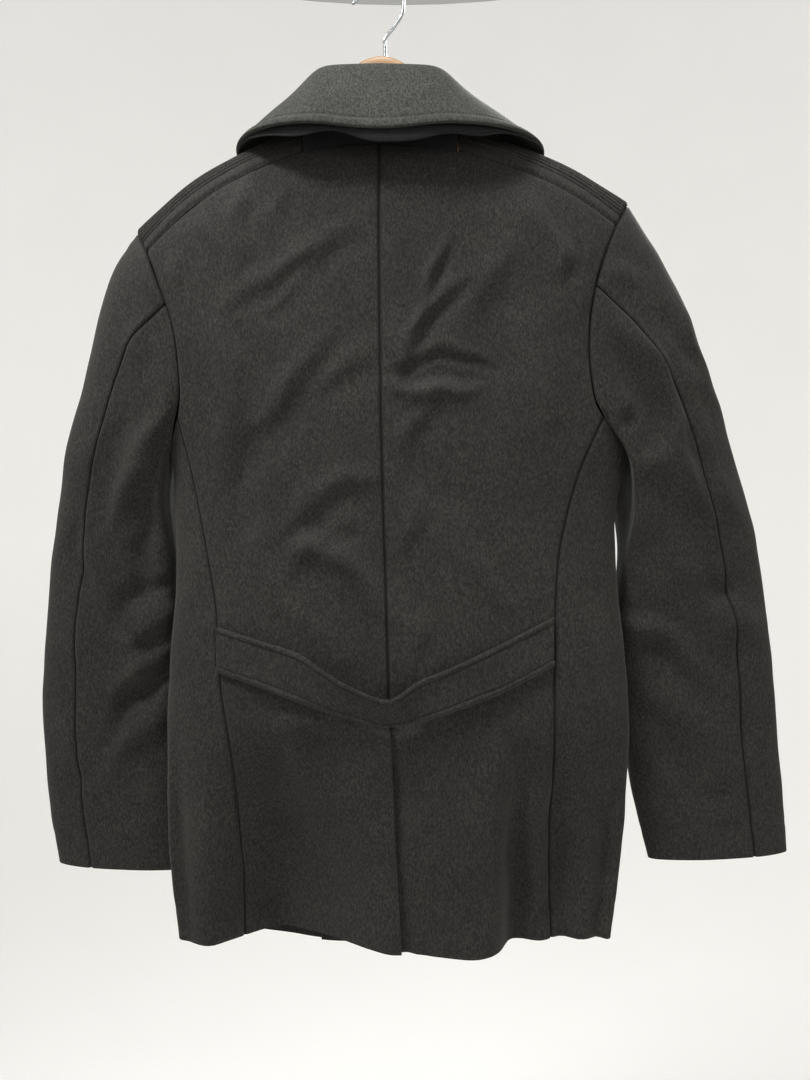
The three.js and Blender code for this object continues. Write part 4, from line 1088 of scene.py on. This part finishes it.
def wool(name, dark, light, fleck):
    """Heathered melton: short crossed fibres over a dense felted ground, with a few coloured ones."""
    look = Look(name)
    look.set({
        "Roughness": 0.92, "Sheen Weight": 0.08, "Sheen Roughness": 0.45, "Specular IOR Level": 0.25,
        "Sheen Tint": (0.62, 0.64, 0.6, 1),
    })
    fibre = look.noise(1050, 3.0, 0.62)
    crossed = look.noise(620, 2.0, 0.55, look.stretched((1.0, 1.0, 0.45)))
    cloud = look.noise(16, 3.0, 0.5)
    ground = look.ramp(fibre, (0.36, dark), (0.64, light))
    second = look.ramp(crossed, (0.4, [c * 0.75 for c in dark]), (0.66, [c * 1.1 for c in light]))
    color = look.blend(0.5, ground, second)
    red = look.ramp(look.noise(760, 1.0, 0.5, look.stretched((1.0, 1.1, 0.9))), (0.7, 0.0), (0.76, 1.0))
    color = look.blend(red, color, fleck)
    tone = look.ramp(cloud, (0.3, (0.86, 0.86, 0.87)), (0.72, (1.14, 1.13, 1.1)))
    color = look.blend(1.0, color, tone, "MULTIPLY")
    # Painted shade: the colour darkens to about a fifth of the dark fibres' colour in seams, stitch rows and
    # rib valleys.
    deep = look.nodes.new("ShaderNodeAttribute")
    deep.attribute_name = "crevice_shade"
    color = look.blend(deep.outputs["Fac"], color, [value * 0.22 for value in dark])
    look.join(color, look.shader.inputs["Base Color"])
    felt = look.bump(fibre, 0.35, 0.0006)
    nap = look.bump(look.noise(240, 3.0, 0.6), 0.25, 0.0008, felt)
    look.join(nap, look.shader.inputs["Normal"])
    return look.material


def varnished_wood():
    look = Look("hanger wood")
    look.set({"Roughness": 0.5, "Coat Weight": 0.12, "Coat Roughness": 0.3})
    grain = look.noise(26, 6.0, 0.6, look.stretched((0.16, 1.4, 1.0)), 0.6)
    fine = look.noise(420, 2.0, 0.6, look.stretched((0.05, 1.0, 1.0)))
    dark, warm, light = (0.2, 0.095, 0.02), (0.28, 0.145, 0.034), (0.33, 0.18, 0.05)
    color = look.ramp(grain, (0.3, dark), (0.55, warm), (0.75, light))
    streaks = look.ramp(fine, (0.4, (0.12, 0.05, 0.012)), (0.6, (0.36, 0.2, 0.06)))
    color = look.blend(0.25, color, streaks)
    look.join(color, look.shader.inputs["Base Color"])
    look.join(look.bump(fine, 0.15, 0.0004), look.shader.inputs["Normal"])
    return look.material


def bright_wire():
    look = Look("hook steel")
    look.set({"Metallic": 1.0, "Roughness": 0.24})
    scuffs = look.noise(300, 3.0, 0.6)
    color = look.ramp(scuffs, (0.3, (0.3, 0.31, 0.32)), (0.7, (0.42, 0.43, 0.44)))
    look.join(color, look.shader.inputs["Base Color"])
    rough = look.ramp(scuffs, (0.35, 0.18), (0.7, 0.34))
    look.join(rough, look.shader.inputs["Roughness"])
    return look.material


def button_resin():
    look = Look("button")
    look.set({"Roughness": 0.3, "Coat Weight": 0.2, "Coat Roughness": 0.15})
    swirl = look.noise(140, 4.0, 0.55, None, 1.4)
    color = look.ramp(swirl, (0.35, (0.009, 0.009, 0.01)), (0.7, (0.028, 0.025, 0.024)))
    look.join(color, look.shader.inputs["Base Color"])
    look.join(look.bump(look.noise(900, 2.0), 0.06, 0.0002), look.shader.inputs["Normal"])
    return look.material


def button_thread():
    look = Look("button thread")
    look.set({"Roughness": 0.8})
    twist = look.noise(2600, 1.0)
    color = look.ramp(twist, (0.3, (0.008, 0.008, 0.009)), (0.7, (0.03, 0.03, 0.032)))
    look.join(color, look.shader.inputs["Base Color"])
    return look.material


def add_piece(piece, node, slot, *materials):
    for material in materials:
        piece.data.materials.append(material)
    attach(piece, "root")
    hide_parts(node)


outer_wool = wool("outer wool", (0.0032, 0.003, 0.0028), (0.0315, 0.0295, 0.0262), (0.045, 0.017, 0.016))
# Painted light: the collar's top is a lighter copy of the coat's wool, for the top light falling on it.
collar_top_wool_painted_light = wool("collar top wool", (0.0055, 0.0058, 0.0052), (0.056, 0.0575, 0.05), (0.05, 0.03, 0.026))
# Painted shade: the under collar and stand are a darker copy of the coat's wool, for the shade under the
# collar's leaf.
collar_wool = wool("collar wool", (0.0035, 0.0035, 0.004), (0.012, 0.012, 0.013), (0.012, 0.008, 0.008))


def add_cloth(piece, node, slot="outer_wool", material=None):
    """Adds a cloth piece."""
    add_piece(piece, node, slot, material or outer_wool)


for side in ("left", "right"):
    add_cloth(back_panel(side), f"back_{side}")
    add_cloth(side_panel(side), f"side_{side}")
    add_cloth(front_panel(side), f"front_{side}")
    add_cloth(yoke(side), f"shoulder_yoke_{side}")
    upper, under = sleeve(side)
    add_cloth(upper, f"sleeve_upper_{side}")
    add_cloth(under, f"sleeve_under_{side}")
    add_cloth(lapel(side), f"lapel_{side}")
collar, under_collar = collar_leaf()
add_cloth(collar, "collar_leaf", material=collar_top_wool_painted_light)
add_cloth(under_collar, "collar_leaf", "collar_wool", collar_wool)
add_cloth(collar_stand(), "collar_stand", "collar_wool", collar_wool)
add_cloth(back_belt(), "back_belt")

resin, thread = button_resin(), button_thread()
for row in range(1, 5):
    for side in ("right", "left"):
        node = f"button_{side}_{row}"
        add_piece(button(f"{node}_sewn", node), node, "button", resin, thread)
add_piece(hanger_wood(), "hanger_wood", "hanger_wood", varnished_wood())
add_piece(hanger_hook(), "hanger_hook", "hook_steel", bright_wire())


def pale_stage():
    """A pale floor that curves up into a pale wall all round, with no corner to be seen."""
    reach, cove, floor_z, top_z = 3.4, 1.3, -1.9, 2.2
    x, z = reach - cove, floor_z + cove
    bend = [(x + cove * np.sin(t), z - cove * np.cos(t)) for t in np.linspace(0, pi / 2, 17)]
    outline = [(0.0, floor_z), (reach * 0.3, floor_z), *bend, (reach, top_z)]
    bm = spun(outline, 96, 1e-5)
    bmesh.ops.reverse_faces(bm, faces=bm.faces)
    stage = link_mesh("pale_stage", bm)
    look = Look("pale floor")
    look.set({"Roughness": 0.85, "Emission Color": (1, 0.99, 0.965, 1), "Emission Strength": 0.27})
    paint = look.ramp(look.noise(3, 3.0), (0.3, (0.78, 0.775, 0.76)), (0.7, (0.8, 0.795, 0.78)))
    look.join(paint, look.shader.inputs["Base Color"])
    stage.data.materials.append(look.material)


def soft_light(name, place, target, size, energy, beam):
    light = bpy.data.lights.new(name, "AREA")
    light.shape = "DISK"
    light.size = size
    light.spread = radians(beam)
    light.energy = energy
    lamp = link_object(name, light)
    lamp.location = place
    lamp.rotation_euler = (Vector(target) - Vector(place)).to_track_quat("-Z", "Y").to_euler()


def lights():
    soft_light("key light", (0.75, 0.8, 0.95), (0, 0.05, -0.55), 0.4, 6.2, 75)
    soft_light("low light", (-0.9, 1.3, -0.2), (0, 0, -0.6), 0.6, 0.7, 75)
    soft_light("front light", (-0.7, -1.0, 0.8), (0, 0, -0.5), 0.5, 5.6, 75)
    soft_light("top light", (0, 0.5, 1.2), (0, 0, -0.4), 0.5, 3.0, 70)
    world = bpy.data.worlds.new("soft room")
    world.use_nodes = True
    background = world.node_tree.nodes["Background"]
    background.inputs["Color"].default_value = (1.0, 0.99, 0.97, 1)
    background.inputs["Strength"].default_value = 0.4
    bpy.context.scene.world = world
    bpy.context.scene.view_settings.view_transform = "Standard"


def camera():
    lens = bpy.data.cameras.new("camera")
    lens.lens = LENS_MM
    lens.clip_start = 0.01
    lens.clip_end = 50
    eye = link_object("camera", lens)
    eye.location = Vector(CAMERA_AT) * MM
    eye.rotation_euler = (pi / 2, 0, pi)  # level, looking along -Y
    bpy.context.scene.camera = eye


pale_stage()
lights()
camera()
